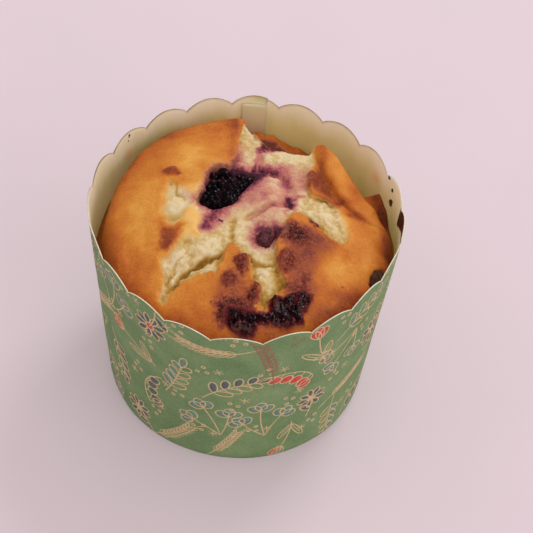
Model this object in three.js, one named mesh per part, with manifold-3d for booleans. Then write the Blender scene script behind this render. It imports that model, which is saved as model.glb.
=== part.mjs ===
// A berry muffin in its paper baking case.
//
// Millimetres, +Z up, with the origin at the middle of the base, on the surface that the case
// stands on. -Y is the front. The case is a tapered cup with a scalloped rim, one lapped seam at
// the back and a recessed bottom disc. The muffin's crown has burst: smooth browned crust stands
// round and above an open crumb and folds over it at the right, and berries lie in sockets of
// their own.

import * as THREE from 'three';
import { mergeVertices } from 'three/addons/utils/BufferGeometryUtils.js';
import Module from 'manifold-3d';

const wasm = await Module();
wasm.setup();

// ---- driving dimensions -------------------------------------------------------------------

const BASE_RADIUS = 30.2; // outside of the case where it stands
const RIM_RADIUS = 35.0; // outside of the case at the rim, on average
const RIM_HEIGHT = 50.6; // of the notches between the scallops
const SCALLOP_COUNT = 20;
const SCALLOP_RISE = 2.3; // of each scallop above the notches
const FIRST_NOTCH = THREE.MathUtils.degToRad(170.94); // azimuth of one notch
const PAPER = 0.5; // thickness of the case's paper
const SEAM = { middle: 90.7, halfWidth: 4.7, lap: 0.3 }; // azimuths in degrees, extra thickness
const BASE_RECESS = 3.0; // height of the bottom disc's underside
const CLEARANCE = 0.3; // between neighbouring pieces

const TOP_HEIGHT = 54.0; // middle of the crown
const DOME_POWER = 2.6; // how flat the crown's middle is
const CRUMB_STEP = 1.3; // how far the open crumb lies below the crust round it

// Where the hand-pressed rim departs from a circle: [waves round the rim, cosine, sine].
const OUT_OF_ROUND = [[1, -0.08, -0.05], [2, -0.18, 0], [3, -0.08, 0.45], [4, 0.41, 0]];

// The crown's outline by direction: the shoulder, where it begins to roll over, the radius of
// its side, the height where that side ends, and the height where the dough meets the paper.
const CROWN = [
  { azimuth: -150, shoulder: 28.5, shoulderZ: 49.5, side: 33.0, footZ: 42.5, wallZ: 40.5 },
  { azimuth: -110, shoulder: 28.5, shoulderZ: 49.3, side: 33.4, footZ: 42.5, wallZ: 41.5 },
  { azimuth: -70, shoulder: 29.0, shoulderZ: 49.3, side: 33.4, footZ: 42.5, wallZ: 41.5 },
  { azimuth: -35, shoulder: 29.0, shoulderZ: 49.3, side: 33.4, footZ: 42.5, wallZ: 41.0 },
  { azimuth: 0, shoulder: 28.0, shoulderZ: 49.3, side: 33.0, footZ: 42.0, wallZ: 41.0 },
  { azimuth: 14, shoulder: 26.4, shoulderZ: 48.3, side: 31.2, footZ: 41.5, wallZ: 40.3 },
  { azimuth: 22, shoulder: 24.2, shoulderZ: 48.6, side: 29.2, footZ: 42.5, wallZ: 42.8 },
  { azimuth: 28, shoulder: 23.7, shoulderZ: 49.2, side: 28.7, footZ: 43.0, wallZ: 43.8 },
  { azimuth: 34, shoulder: 24.6, shoulderZ: 49.6, side: 29.2, footZ: 39.0, wallZ: 37.0 },
  { azimuth: 46, shoulder: 25.6, shoulderZ: 50.5, side: 29.4, footZ: 38.5, wallZ: 35.5 },
  { azimuth: 57, shoulder: 25.5, shoulderZ: 51.0, side: 28.6, footZ: 39.0, wallZ: 37.0 },
  { azimuth: 66, shoulder: 27.5, shoulderZ: 50.0, side: 31.0, footZ: 41.5, wallZ: 39.5 },
  { azimuth: 90, shoulder: 28.0, shoulderZ: 50.0, side: 32.0, footZ: 43.0, wallZ: 42.0 },
  { azimuth: 97, shoulder: 28.0, shoulderZ: 50.8, side: 31.8, footZ: 43.5, wallZ: 43.0 },
  { azimuth: 110, shoulder: 28.1, shoulderZ: 50.7, side: 32.3, footZ: 44.0, wallZ: 43.5 },
  { azimuth: 130, shoulder: 28.7, shoulderZ: 50.5, side: 32.8, footZ: 44.0, wallZ: 43.5 },
  { azimuth: 142, shoulder: 29.0, shoulderZ: 50.3, side: 32.8, footZ: 43.0, wallZ: 42.0 },
  { azimuth: 155, shoulder: 28.5, shoulderZ: 50.0, side: 32.2, footZ: 41.0, wallZ: 38.5 },
  { azimuth: 170, shoulder: 28.5, shoulderZ: 49.8, side: 31.8, footZ: 40.0, wallZ: 37.0 },
  { azimuth: 195, shoulder: 28.5, shoulderZ: 49.5, side: 32.2, footZ: 41.0, wallZ: 38.5 },
];

// The open crumb where the crown has burst, seen from above, as [x, y].
const CRUMB_BURST = [
  [-3.2, 22], [-2.8, 27], [-1.8, 28.5], [1, 25], [3.2, 21.5], [13.4, 21.5], [14.8, 18],
  [13.2, 13.5], [13, 9.8], [14.4, 7.4], [17.9, 6.8], [19.6, 5], [20.8, 2.6], [21.9, -0.9],
  [22.6, -4], [21.4, -7], [17.5, -5], [14.5, -2.2], [11.5, 0], [9, -3], [7.4, -6.5],
  [7.3, -14], [9.6, -19.5], [7, -22.8], [5.5, -25.7], [4, -24.5], [4.1, -20.5], [2, -19],
  [1, -13.4], [-0.9, -12.9], [-1.3, -11.4], [-2.6, -10.2], [-4, -11.3], [-4.7, -15.4],
  [-5.6, -18.6], [-9, -18.3], [-13.5, -21], [-16.5, -25.5], [-17.8, -24], [-17.3, -18.8],
  [-17.7, -14.5], [-15.2, -12], [-13.8, -8.3], [-10.2, -8.8], [-10.4, -3], [-12, 0.3],
  [-10.6, 5.5], [-9, 11], [-4, 13],
];
const CRUMB_LEFT = [
  [-17.9, 7.6], [-15.6, 6.1], [-13, 4.4], [-11, 3], [-11.4, 0.6], [-13, -1.4], [-14.4, -4],
  [-15.8, -5.8], [-17.3, -4.3], [-18.4, -2], [-18.6, 1.4], [-18.2, 4.5],
];

// The crown has torn away from its back edge, which leaves a pit whose floor falls to the right.
const PIT = [
  [-3, 31], [-2, 28], [0.8, 24.5], [3.2, 20.9], [8.7, 20.4], [13, 20.4], [15, 23], [17, 29],
  [12, 40], [-3, 40],
];
const PIT_FLOOR = { z: 43.8, fall: 0.28 };

// Raised lips of the crust, each as [x, y, height], with the lip's half width.
const LIPS = [
  { width: 4.0, line: [[-3.8, 27.4, 1.5], [-9, 26, 0.8], [-15, 22, 0.5], [-25, 0, 0.4]] },
  { width: 2.4, line: [[16.4, 22.2, 1.4], [18.6, 17.5, 0.7], [21.5, 12, 0.3]] },
];

// Folds: crust on the left of each line rolls over its neighbour. Each has the width of the roll,
// its reach behind that, and the line as [x, y, height].
const FOLDS = [
  {
    width: 2.2,
    reach: 13,
    line: [
      [14.2, 24, 1.6], [14.7, 18.8, 1.9], [16, 14.7, 2.1], [17.2, 12.1, 2.2], [18.7, 9.8, 2.2],
      [20.8, 6.4, 2.1], [24.1, 3.5, 1.9], [27, 1.8, 1.3], [30, 1.5, 0.7], [33.5, 2.2, 0.4],
    ],
  },
  {
    width: 1.5,
    reach: 7,
    line: [
      [24, -9, 0.4], [20.5, -7.4, 0.8], [16.5, -4, 0.9], [13.5, -1.8, 0.9], [10.8, -1, 0.9],
      [8.6, -3.2, 0.8], [7.6, -6.3, 0.6],
    ],
  },
];

// Cracks and creases in the dough, each as [x, y, depth].
const CRACKS = [
  { width: 1.0, line: [[-4.5, -12.8, 0.6], [-7.5, -14.2, 1.4], [-13.5, -19.2, 1.2], [-16, -23, 1]] },
  { width: 0.9, line: [[0.8, -13.4, 0.7], [3.2, -14.6, 0.8], [6, -14.6, 0.4]] },
  { width: 0.9, line: [[0.3, -2.2, 0.5], [2.5, -0.4, 0.9], [4.6, 1.6, 1.0], [8, 2.4, 0.9]] },
  { width: 1.2, line: [[0.6, 13, 0.8], [4, 12.4, 0.9], [8, 10.5, 1.0], [9.5, 6, 0.8]] },
  { width: 0.9, line: [[22.9, -10.1, 0.5], [24.6, -12.4, 0.4], [26.9, -14.7, 0.4]] },
  { width: 1.6, line: [[28.6, -1, 0.6], [31.5, -4.5, 1.2]] },
];

// Lumps (and, where the height is negative, hollows): [x, y, height, x radius, y radius].
const LUMPS = [
  [3.6, 5.6, 1.9, 4.4, 4.0], // two smooth lobes of dough beside the upper berry
  [6.6, -1.4, 1.5, 4.0, 2.8],
  [-17.7, 10.3, 1.3, 1.6, 1.0], // small dark peak on the left
  [-0.4, -15.4, 1.0, 1.3, 2.4], // baked nubs on the crust
  [-2.8, -19.3, 0.6, 1.4, 1.6],
  [9.3, -13.6, 0.8, 1.8, 2.6],
  [2.8, -22.3, 0.9, 1.2, 1.9],
  [15, -2.1, 0.7, 1.2, 1.6],
  [14.3, 11.6, 0.7, 1.3, 2.5],
  [-8, -11, 0.9, 3.4, 2.4], // lumps of crumb
  [-13.6, -14.2, 0.9, 1.6, 2.0],
  [-6.5, -17.2, 0.7, 2.4, 1.4],
  [4.5, -18.5, 0.7, 2.4, 3.0],
  [17, 1, 0.9, 3.0, 3.4],
  [8, 17.5, 0.8, 4.6, 2.0],
  [-15.6, 0, 0.8, 2.0, 3.0],
  [-12.5, -5.2, 0.6, 2.6, 2.2],
  [22.5, 11, 0.5, 4.5, 6.0], // swell of the folded crust
  [-5.6, 5.6, -1.9, 6.4, 6.4], // round the upper berry
  [4.6, -7.6, -0.9, 2.4, 2.8], // round the small berry
  [1.5, 31.3, 1.2, 1.6, 1.3], // crust left on the back edge
  [4.6, 31.0, 2.0, 1.6, 1.3],
  [7.5, 30.4, 1.0, 1.5, 1.3],
  [10.8, 29.4, 1.6, 1.6, 1.3],
];

// Berries: lobes as [x, y, z, x radius, y radius, z radius], and drupelets round each lobe.
const BERRIES = {
  berry_upper: {
    drupelets: 26,
    lobes: [
      [-6.4, 7.9, 49.7, 2.9, 3.3, 2.7], [-7.6, 3.0, 49.8, 3.3, 2.6, 2.4],
      [-2.6, 8.3, 49.9, 3.0, 2.3, 2.2], [-4.6, 4.6, 49.6, 2.9, 3.0, 2.6],
    ],
  },
  berry_middle: { drupelets: 12, lobes: [[4.7, -7.5, 51.0, 1.4, 2.1, 1.5]] },
  berry_front_left: {
    drupelets: 18,
    lobes: [[-0.5, -28.9, 48.1, 2.5, 2.0, 2.1], [1.4, -30.0, 47.7, 2.1, 1.8, 1.9]],
  },
  berry_front_right: {
    drupelets: 22,
    lobes: [[9.2, -24.0, 49.6, 3.1, 1.6, 1.8], [13.1, -22.6, 49.6, 2.5, 2.0, 1.9]],
  },
  berry_rim: { drupelets: 14, lobes: [[28.9, -12.1, 47.0, 1.6, 2.6, 2.1]] },
};

const COLOURS = {
  muffin: 0xc98842,
  case_wall: 0x6b7d50,
  case_base: 0x66784c,
  berry: 0x2a1820,
};

// Mesh fineness.
const WALL_STEPS = SCALLOP_COUNT * 10;
const BASE_STEPS = 72;
const CROWN_STEPS = 84; // round the muffin
const CROWN_RINGS = { middle: 19, edge: 10, edgeStart: 0.76 }; // edgeStart: share of the radius
const SIDE_RINGS = 3;
const LOBE_DETAIL = 3;
const SOCKET_DETAIL = 2;

// ---- shared helpers -----------------------------------------------------------------------

function smoothstep(low, high, value) {
  return THREE.MathUtils.smoothstep(value, low, high);
}

// Distance from (x, y) to a line, the value that its points carry at the nearest place, and
// whether the place lies on the line's left.
function nearestOnLine(x, y, line) {
  let nearest = { distance: Infinity, value: 0, onLeft: false };
  for (let i = 0; i + 1 < line.length; i += 1) {
    const [ax, ay, av = 0] = line[i];
    const [bx, by, bv = 0] = line[i + 1];
    const [dx, dy] = [bx - ax, by - ay];
    const t = THREE.MathUtils.clamp(((x - ax) * dx + (y - ay) * dy) / (dx * dx + dy * dy), 0, 1);
    const distance = Math.hypot(x - ax - t * dx, y - ay - t * dy);
    const onLeft = dx * (y - ay) > dy * (x - ax);
    if (distance < nearest.distance) nearest = { distance, value: av + t * (bv - av), onLeft };
  }
  return nearest;
}

// Distance from (x, y) to an outline, positive inside it.
function depthInside(x, y, outline) {
  const closed = [...outline, outline[0]];
  let inside = false;
  for (let i = 0; i + 1 < closed.length; i += 1) {
    const [ax, ay] = closed[i];
    const [bx, by] = closed[i + 1];
    const crosses = (ay > y) !== (by > y) && x < ((bx - ax) * (y - ay)) / (by - ay) + ax;
    if (crosses) inside = !inside;
  }
  const { distance } = nearestOnLine(x, y, closed);
  return inside ? distance : -distance;
}

// A closed geometry from rows of points that all run once round, with a point at each end.
function geometryFromRows(start, rows, end) {
  const count = rows[0].length;
  const points = [start, ...rows.flat(), end];
  const index = [];
  const at = (row, i) => 1 + row * count + (i % count);
  for (let i = 0; i < count; i += 1) {
    index.push(0, at(0, i), at(0, i + 1));
    index.push(points.length - 1, at(rows.length - 1, i + 1), at(rows.length - 1, i));
    for (let row = 0; row + 1 < rows.length; row += 1) {
      index.push(at(row, i), at(row + 1, i), at(row + 1, i + 1));
      index.push(at(row, i), at(row + 1, i + 1), at(row, i + 1));
    }
  }
  const geometry = new THREE.BufferGeometry();
  geometry.setAttribute('position', new THREE.Float32BufferAttribute(points.flat(), 3));
  geometry.setIndex(index);
  return geometry;
}

function toSolid(geometry) {
  const bare = geometry.clone();
  bare.deleteAttribute('normal');
  bare.deleteAttribute('uv');
  const merged = mergeVertices(bare);
  return new wasm.Manifold(new wasm.Mesh({
    numProp: 3,
    vertProperties: new Float32Array(merged.attributes.position.array),
    triVerts: new Uint32Array(merged.index.array),
  }));
}

function toGeometry(solid) {
  const mesh = solid.getMesh();
  const geometry = new THREE.BufferGeometry();
  geometry.setAttribute('position', new THREE.BufferAttribute(mesh.vertProperties, 3));
  geometry.setIndex(new THREE.BufferAttribute(mesh.triVerts, 1));
  return geometry;
}

// ---- the case -----------------------------------------------------------------------------

function rimRadius(azimuth) {
  const wave = ([n, c, s]) => c * Math.cos(n * azimuth) + s * Math.sin(n * azimuth);
  return RIM_RADIUS + OUT_OF_ROUND.reduce((sum, row) => sum + wave(row), 0);
}

// Outside radius of the case at a height.
function caseRadius(azimuth, z) {
  return THREE.MathUtils.lerp(BASE_RADIUS, rimRadius(azimuth), z / RIM_HEIGHT);
}

function rimHeight(azimuth) {
  const wave = Math.abs(Math.sin((SCALLOP_COUNT / 2) * (azimuth - FIRST_NOTCH)));
  return RIM_HEIGHT + SCALLOP_RISE * wave ** 0.8;
}

function seamLap(azimuth) {
  const offset = Math.abs(THREE.MathUtils.radToDeg(azimuth) - SEAM.middle);
  return offset < SEAM.halfWidth ? SEAM.lap : 0;
}

function polar(radius, azimuth, z) {
  return [radius * Math.cos(azimuth), radius * Math.sin(azimuth), z];
}

function azimuths(count, start = 0) {
  return Array.from({ length: count }, (_, i) => start + (2 * Math.PI * i) / count);
}

// The wall is one closed ring: outside, rim, inside and the edge that it stands on.
function caseWall() {
  const round = azimuths(WALL_STEPS, FIRST_NOTCH - Math.PI);
  const corners = round.map((a) => {
    const top = rimHeight(a);
    const lap = seamLap(a);
    return [
      polar(caseRadius(a, 0) + lap, a, 0),
      polar(caseRadius(a, top) + lap, a, top),
      polar(caseRadius(a, top) - PAPER, a, top),
      polar(caseRadius(a, 0) - PAPER, a, 0),
    ];
  });
  const index = [];
  const at = (i, corner) => 4 * (i % WALL_STEPS) + (corner % 4);
  for (let i = 0; i < WALL_STEPS; i += 1) {
    for (let corner = 0; corner < 4; corner += 1) {
      index.push(at(i, corner), at(i + 1, corner), at(i + 1, corner + 1));
      index.push(at(i, corner), at(i + 1, corner + 1), at(i, corner + 1));
    }
  }
  const geometry = new THREE.BufferGeometry();
  geometry.setAttribute('position', new THREE.Float32BufferAttribute(corners.flat(2), 3));
  geometry.setIndex(index);
  return geometry;
}

// The bottom disc is recessed and turned down into a skirt, glued inside the wall.
function caseBase() {
  const outside = (z) => caseRadius(0, z * (RIM_RADIUS / rimRadius(0))) - PAPER - CLEARANCE;
  const disc = BASE_RECESS + PAPER;
  const foot = BASE_RADIUS - PAPER - CLEARANCE;
  const profile = [
    [0, BASE_RECESS], [foot - PAPER, BASE_RECESS], [foot - PAPER, 0], [foot, 0],
    [outside(disc), disc], [0, disc],
  ];
  const points = profile.map(([radius, z]) => new THREE.Vector2(radius, z));
  return new THREE.LatheGeometry(points, BASE_STEPS).rotateX(Math.PI / 2);
}

// ---- the muffin ---------------------------------------------------------------------------

function crownAt(azimuth) {
  const first = CROWN[0].azimuth;
  const degrees = THREE.MathUtils.euclideanModulo(THREE.MathUtils.radToDeg(azimuth) - first, 360);
  const rows = [...CROWN, { ...CROWN[0], azimuth: first + 360 }];
  const next = rows.findIndex((row) => row.azimuth - first > degrees);
  const [a, b] = [rows[next - 1], rows[next]];
  const t = smoothstep(a.azimuth - first, b.azimuth - first, degrees);
  const between = (key) => THREE.MathUtils.lerp(a[key], b[key], t);
  return {
    shoulder: between('shoulder'),
    shoulderZ: between('shoulderZ'),
    side: between('side'),
    footZ: between('footZ'),
    wallZ: between('wallZ'),
  };
}

// Inside of the case, less the clearance to it.
function muffinRadius(azimuth, z) {
  return caseRadius(azimuth, z) - PAPER - CLEARANCE;
}

// Height of the crown before it burst: a flat dome that rolls over at the shoulder, falls down
// its side and ends in a ledge against the paper.
function domeHeight(x, y) {
  const radius = Math.hypot(x, y);
  const azimuth = Math.atan2(y, x);
  const c = crownAt(azimuth);
  const drop = TOP_HEIGHT - c.shoulderZ;
  if (radius <= c.shoulder) return TOP_HEIGHT - drop * (radius / c.shoulder) ** DOME_POWER;
  if (radius >= c.side) {
    const edge = muffinRadius(azimuth, c.wallZ);
    const t = THREE.MathUtils.clamp((radius - c.side) / Math.max(edge - c.side, 0.1), 0, 1);
    return THREE.MathUtils.lerp(c.footZ, c.wallZ, t);
  }
  const t = (radius - c.shoulder) / (c.side - c.shoulder);
  const lean = ((DOME_POWER * drop) / c.shoulder) * (radius - c.shoulder) * (1 - t) * 0.8;
  return c.footZ + (c.shoulderZ - c.footZ) * Math.sqrt(1 - t ** 2.2) - lean;
}

function crownHeight(x, y) {
  let z = domeHeight(x, y);
  for (const { width, line } of LIPS) {
    const { distance, value } = nearestOnLine(x, y, line);
    z += value * Math.exp(-((distance / width) ** 2));
  }
  const floor = PIT_FLOOR.z - PIT_FLOOR.fall * x;
  z = THREE.MathUtils.lerp(z, Math.min(z, floor), smoothstep(-0.3, 2.4, depthInside(x, y, PIT)));
  const open = Math.max(depthInside(x, y, CRUMB_BURST), depthInside(x, y, CRUMB_LEFT));
  z -= CRUMB_STEP * smoothstep(-0.4, 0.8, open);
  for (const { width, reach, line } of FOLDS) {
    const { distance, value, onLeft } = nearestOnLine(x, y, line);
    const roll = Math.sqrt(1 - (1 - Math.min(distance / width, 1)) ** 2);
    if (onLeft) z += value * roll * (1 - smoothstep(0.3 * reach, reach, distance));
  }
  for (const { width, line } of CRACKS) {
    const { distance, value } = nearestOnLine(x, y, line);
    z -= value * Math.exp(-((distance / width) ** 2));
  }
  for (const [cx, cy, height, rx, ry] of LUMPS) {
    z += height * Math.exp(-(((x - cx) / rx) ** 2) - ((y - cy) / ry) ** 2);
  }
  return z;
}

// Radii of the crown's rings, as shares of the muffin's radius, closer together at its edge.
function ringShares() {
  const { middle, edge, edgeStart } = CROWN_RINGS;
  const inner = Array.from({ length: middle }, (_, i) => (edgeStart * (i + 1)) / middle);
  const step = (1 - edgeStart) / edge;
  const outer = Array.from({ length: edge }, (_, i) => edgeStart + step * (i + 1));
  return [...inner, ...outer];
}

function muffinBody() {
  const round = azimuths(CROWN_STEPS);
  const bottom = BASE_RECESS + PAPER + CLEARANCE;
  const edges = round.map((a) => {
    const { wallZ } = crownAt(a);
    return { a, radius: muffinRadius(a, wallZ), z: wallZ };
  });
  const crown = ringShares().map((share) => edges.map(({ a, radius, z }) => {
    const [x, y] = polar(share * radius, a, 0);
    return [x, y, share < 1 ? Math.max(crownHeight(x, y), z - 1) : z];
  }));
  const side = Array.from({ length: SIDE_RINGS }, (_, i) => edges.map(({ a, z }) => {
    const height = THREE.MathUtils.lerp(z, bottom, (i + 1) / SIDE_RINGS);
    return polar(muffinRadius(a, height), a, height);
  }));
  return geometryFromRows([0, 0, crownHeight(0, 0)], [...crown, ...side], [0, 0, bottom]);
}

// ---- the berries --------------------------------------------------------------------------

// Directions spread evenly over a sphere, one for each drupelet.
function drupeletDirections(count) {
  const turn = Math.PI * (3 - Math.sqrt(5));
  return Array.from({ length: count }, (_, i) => {
    const z = 1 - (2 * i + 1) / count;
    const r = Math.sqrt(1 - z * z);
    return new THREE.Vector3(r * Math.cos(turn * i), r * Math.sin(turn * i), z);
  });
}

function lobeGeometry([x, y, z, rx, ry, rz], drupelets) {
  const geometry = new THREE.IcosahedronGeometry(1, LOBE_DETAIL);
  const directions = drupeletDirections(drupelets);
  const reach = 2 / Math.sqrt(drupelets); // half the angle between neighbouring drupelets
  const position = geometry.attributes.position;
  const point = new THREE.Vector3();
  for (let i = 0; i < position.count; i += 1) {
    point.fromBufferAttribute(position, i);
    const angle = Math.min(...directions.map((direction) => point.angleTo(direction)));
    const swell = 1 - 0.22 * Math.min(angle / reach, 1) ** 2;
    position.setXYZ(i, x + rx * swell * point.x, y + ry * swell * point.y, z + rz * swell * point.z);
  }
  return geometry;
}

function socketGeometry([x, y, z, rx, ry, rz]) {
  const room = CLEARANCE + 0.15;
  return new THREE.IcosahedronGeometry(1, SOCKET_DETAIL)
    .scale(rx + room, ry + room, rz + room)
    .translate(x, y, z);
}

function union(geometries) {
  return geometries.map(toSolid).reduce((sum, solid) => sum.add(solid));
}

// ---- assembly -----------------------------------------------------------------------------

function material(color, roughness) {
  return new THREE.MeshStandardMaterial({ color, roughness, metalness: 0 });
}

function addPiece(group, name, geometry, finish) {
  geometry.computeVertexNormals();
  const mesh = new THREE.Mesh(geometry, finish);
  mesh.name = name;
  group.add(mesh);
}

const muffin = new THREE.Group();
addPiece(muffin, 'case_wall', caseWall(), material(COLOURS.case_wall, 0.75));
addPiece(muffin, 'case_base', caseBase(), material(COLOURS.case_base, 0.75));

let body = toSolid(muffinBody());
for (const [name, { lobes, drupelets }] of Object.entries(BERRIES)) {
  body = body.subtract(union(lobes.map(socketGeometry)));
  const berry = union(lobes.map((lobe) => lobeGeometry(lobe, drupelets)));
  addPiece(muffin, name, toGeometry(berry), material(COLOURS.berry, 0.45));
}
addPiece(muffin, 'muffin', toGeometry(body), material(COLOURS.muffin, 0.7));

export default muffin;
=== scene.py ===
"""Looks of a berry muffin in its paper baking case.

Everything is worked out in millimetres, in the part's own frame, and becomes metres when a mesh
is made. The muffin's crown is one height function of x and y: a dome that rolls over at its
shoulder, with lips, cracks, lumps and an open, lower crumb. Masks from the same outlines tell
the materials where crust, crumb, juice stains and jam are.
"""

import math

import bmesh
import bpy
import numpy as np
from mathutils import Matrix, Vector


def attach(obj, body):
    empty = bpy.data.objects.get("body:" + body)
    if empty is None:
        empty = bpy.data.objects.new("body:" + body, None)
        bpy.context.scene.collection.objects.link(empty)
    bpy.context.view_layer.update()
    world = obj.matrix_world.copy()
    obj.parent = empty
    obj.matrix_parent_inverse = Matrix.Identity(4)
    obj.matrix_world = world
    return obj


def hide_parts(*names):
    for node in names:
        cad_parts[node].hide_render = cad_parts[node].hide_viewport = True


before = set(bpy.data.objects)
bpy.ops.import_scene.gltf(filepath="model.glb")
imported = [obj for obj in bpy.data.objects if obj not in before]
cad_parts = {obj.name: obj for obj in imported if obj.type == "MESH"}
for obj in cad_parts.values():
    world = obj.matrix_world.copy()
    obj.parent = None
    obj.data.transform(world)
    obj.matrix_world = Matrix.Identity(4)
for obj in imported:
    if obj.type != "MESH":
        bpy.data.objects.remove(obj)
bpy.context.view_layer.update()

MM = 0.001
TAU = 2 * math.pi

# ---- the case, in millimetres, as the CAD has it ------------------------------------------

BASE_RADIUS = 30.2
RIM_RADIUS = 35.0
RIM_HEIGHT = 50.6  # of the notches between the scallops
SCALLOPS = 20
SCALLOP_RISE = 2.3
FIRST_NOTCH = math.radians(170.94)
OUT_OF_ROUND = ((1, -0.08, -0.05), (2, -0.18, 0), (3, -0.08, 0.45), (4, 0.41, 0))
CAD_PAPER = 0.5
PAPER = 0.28  # the real paper, which lies in the CAD wall
PAPER_INSET = 0.06  # from the CAD wall's outer face to the paper's
PAPER_SOFTNESS = 0.2  # how far the paper goes in and out
BASE_ROUNDING = 0.3  # how far the paper's lower edge bends in
BASE_ROUNDING_HEIGHT = 0.8
BASE_RECESS = 3.0
BOTTOM_GRID = 90
PRESSED_RING = 24  # radius of the ring in the bottom
WALL_ROWS = 56
MARK_OVERLAP = 0.05  # how far jam and juice on the paper reach into it

SHEET_COLUMNS = 480  # of the paper in one turn
SEAM_START = 114  # columns from the first notch back to where the outer layer ends
SEAM_COLUMNS = 13  # that the two layers share
SEAM_FADE = 7  # columns that the outer layer takes to lie back on the CAD wall
SEAM_LAP = 0.29
INNER_END_HEIGHT = 50.7  # the inner layer's end is cut off flat
COLUMN_ANGLE = TAU / SHEET_COLUMNS
SHEET_START = FIRST_NOTCH - SEAM_START * COLUMN_ANGLE

PRINT_RADIUS = 32.6  # halfway up the wall
PRINT_LENGTH = TAU * PRINT_RADIUS
PRINT_COLUMNS = 16
PRINT_ROWS = 4
PRINT_FIRST_ROW = 7.0
PRINT_ROW_HEIGHT = 12.8
PRINT_SEED = 5
PRINT_MARGIN = 0.25  # below the rim
PRINT_FOOT = 0.5
LINE = 0.32
TAN, TEAL, GREY, RED, FADED = range(5)  # places in the list of inks
INKS = (  # each as name, colour and the colour of worn places
    ("tan", (222, 196, 150), (196, 168, 120)),
    ("teal", (116, 150, 130), (98, 134, 114)),
    ("grey", (102, 114, 108), (84, 98, 92)),
    ("red", (222, 92, 82), (198, 66, 62)),
    ("faded", (158, 122, 92), (134, 110, 78)),
)
INK_LINE = 0.035  # height of lines over the paper
INK_FILL = 0.02
INK_UNDER = 0.03  # how far ink reaches into the paper

# ---- the muffin's crown -------------------------------------------------------------------

TOP_HEIGHT = 54.0
DOME_POWER = 2.6
CRUMB_STEP = 1.3  # from the crust down to the open crumb
CAKE_GAP = 0.02  # between the cake and the paper
CAKE_GRID = 290
CAKE_SIDE_ROWS = 8

# Azimuth in degrees, shoulder radius, shoulder height, radius of the side, height where the side
# ends, height where the dough meets the paper.
CROWN = np.array([
    (-150, 28.5, 49.5, 33.0, 42.5, 40.5),
    (-110, 28.5, 49.3, 33.4, 42.5, 41.5),
    (-70, 29.0, 49.3, 33.4, 42.5, 41.5),
    (-35, 29.0, 49.3, 33.4, 42.5, 41.0),
    (0, 28.0, 49.3, 33.0, 42.0, 41.0),
    (14, 26.4, 48.3, 31.2, 41.5, 40.3),
    (22, 24.2, 48.6, 29.2, 42.5, 42.8),
    (28, 23.7, 49.2, 28.7, 43.0, 43.8),
    (34, 24.6, 49.6, 29.2, 39.0, 37.0),
    (46, 25.6, 50.5, 29.4, 38.5, 35.5),
    (57, 25.5, 51.0, 28.6, 39.0, 37.0),
    (66, 27.5, 50.0, 31.0, 41.5, 39.5),
    (90, 28.0, 50.0, 32.0, 43.0, 42.0),
    (97, 28.0, 50.8, 31.8, 43.5, 43.0),
    (110, 28.1, 50.7, 32.3, 44.0, 43.5),
    (130, 28.7, 50.5, 32.8, 44.0, 43.5),
    (142, 29.0, 50.3, 32.8, 43.0, 42.0),
    (155, 28.5, 50.0, 32.2, 41.0, 38.5),
    (170, 28.5, 49.8, 31.8, 40.0, 37.0),
    (195, 28.5, 49.5, 32.2, 41.0, 38.5),
    (210, 28.5, 49.5, 33.0, 42.5, 40.5),
])

# Outlines of the two places where the crust is torn open, and of the pit behind the larger one.
CRUMB_BURST = (
    (-3.2, 22), (-2.8, 27), (-1.8, 28.5), (1, 25), (3.2, 21.5), (13.4, 21.5), (14.8, 18),
    (13.2, 13.5), (13, 9.8), (14.4, 7.4), (17.9, 6.8), (19.6, 5), (20.8, 2.6), (21.9, -0.9),
    (22.6, -4), (21.4, -7), (17.5, -5), (14.5, -2.2), (11.5, 0), (9, -3), (7.4, -6.5),
    (7.3, -14), (9.6, -19.5), (7, -22.8), (5.5, -25.7), (4, -24.5), (4.1, -20.5), (2, -19),
    (1, -13.4), (-0.9, -12.9), (-1.3, -11.4), (-2.6, -10.2), (-4, -11.3), (-4.7, -15.4),
    (-5.6, -18.6), (-9, -18.3), (-13.5, -21), (-16.5, -25.5), (-17.8, -24), (-17.3, -18.8),
    (-17.7, -14.5), (-15.2, -12), (-13.8, -8.3), (-10.2, -8.8), (-10.4, -3), (-12, 0.3),
    (-10.6, 5.5), (-9, 11), (-4, 13),
)
CRUMB_LEFT = (
    (-17.9, 7.6), (-15.6, 6.1), (-13, 4.4), (-11, 3), (-11.4, 0.6), (-13, -1.4), (-14.4, -4),
    (-15.8, -5.8), (-17.3, -4.3), (-18.4, -2), (-18.6, 1.4), (-18.2, 4.5),
)
PIT = (
    (-3, 31), (-2, 28), (0.8, 24.5), (3.2, 20.9), (8.7, 20.4), (13, 20.4), (15, 23), (17, 29),
    (12, 40), (-3, 40),
)
PIT_FLOOR = 43.8
PIT_FALL = 0.28  # of its floor towards the right

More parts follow.
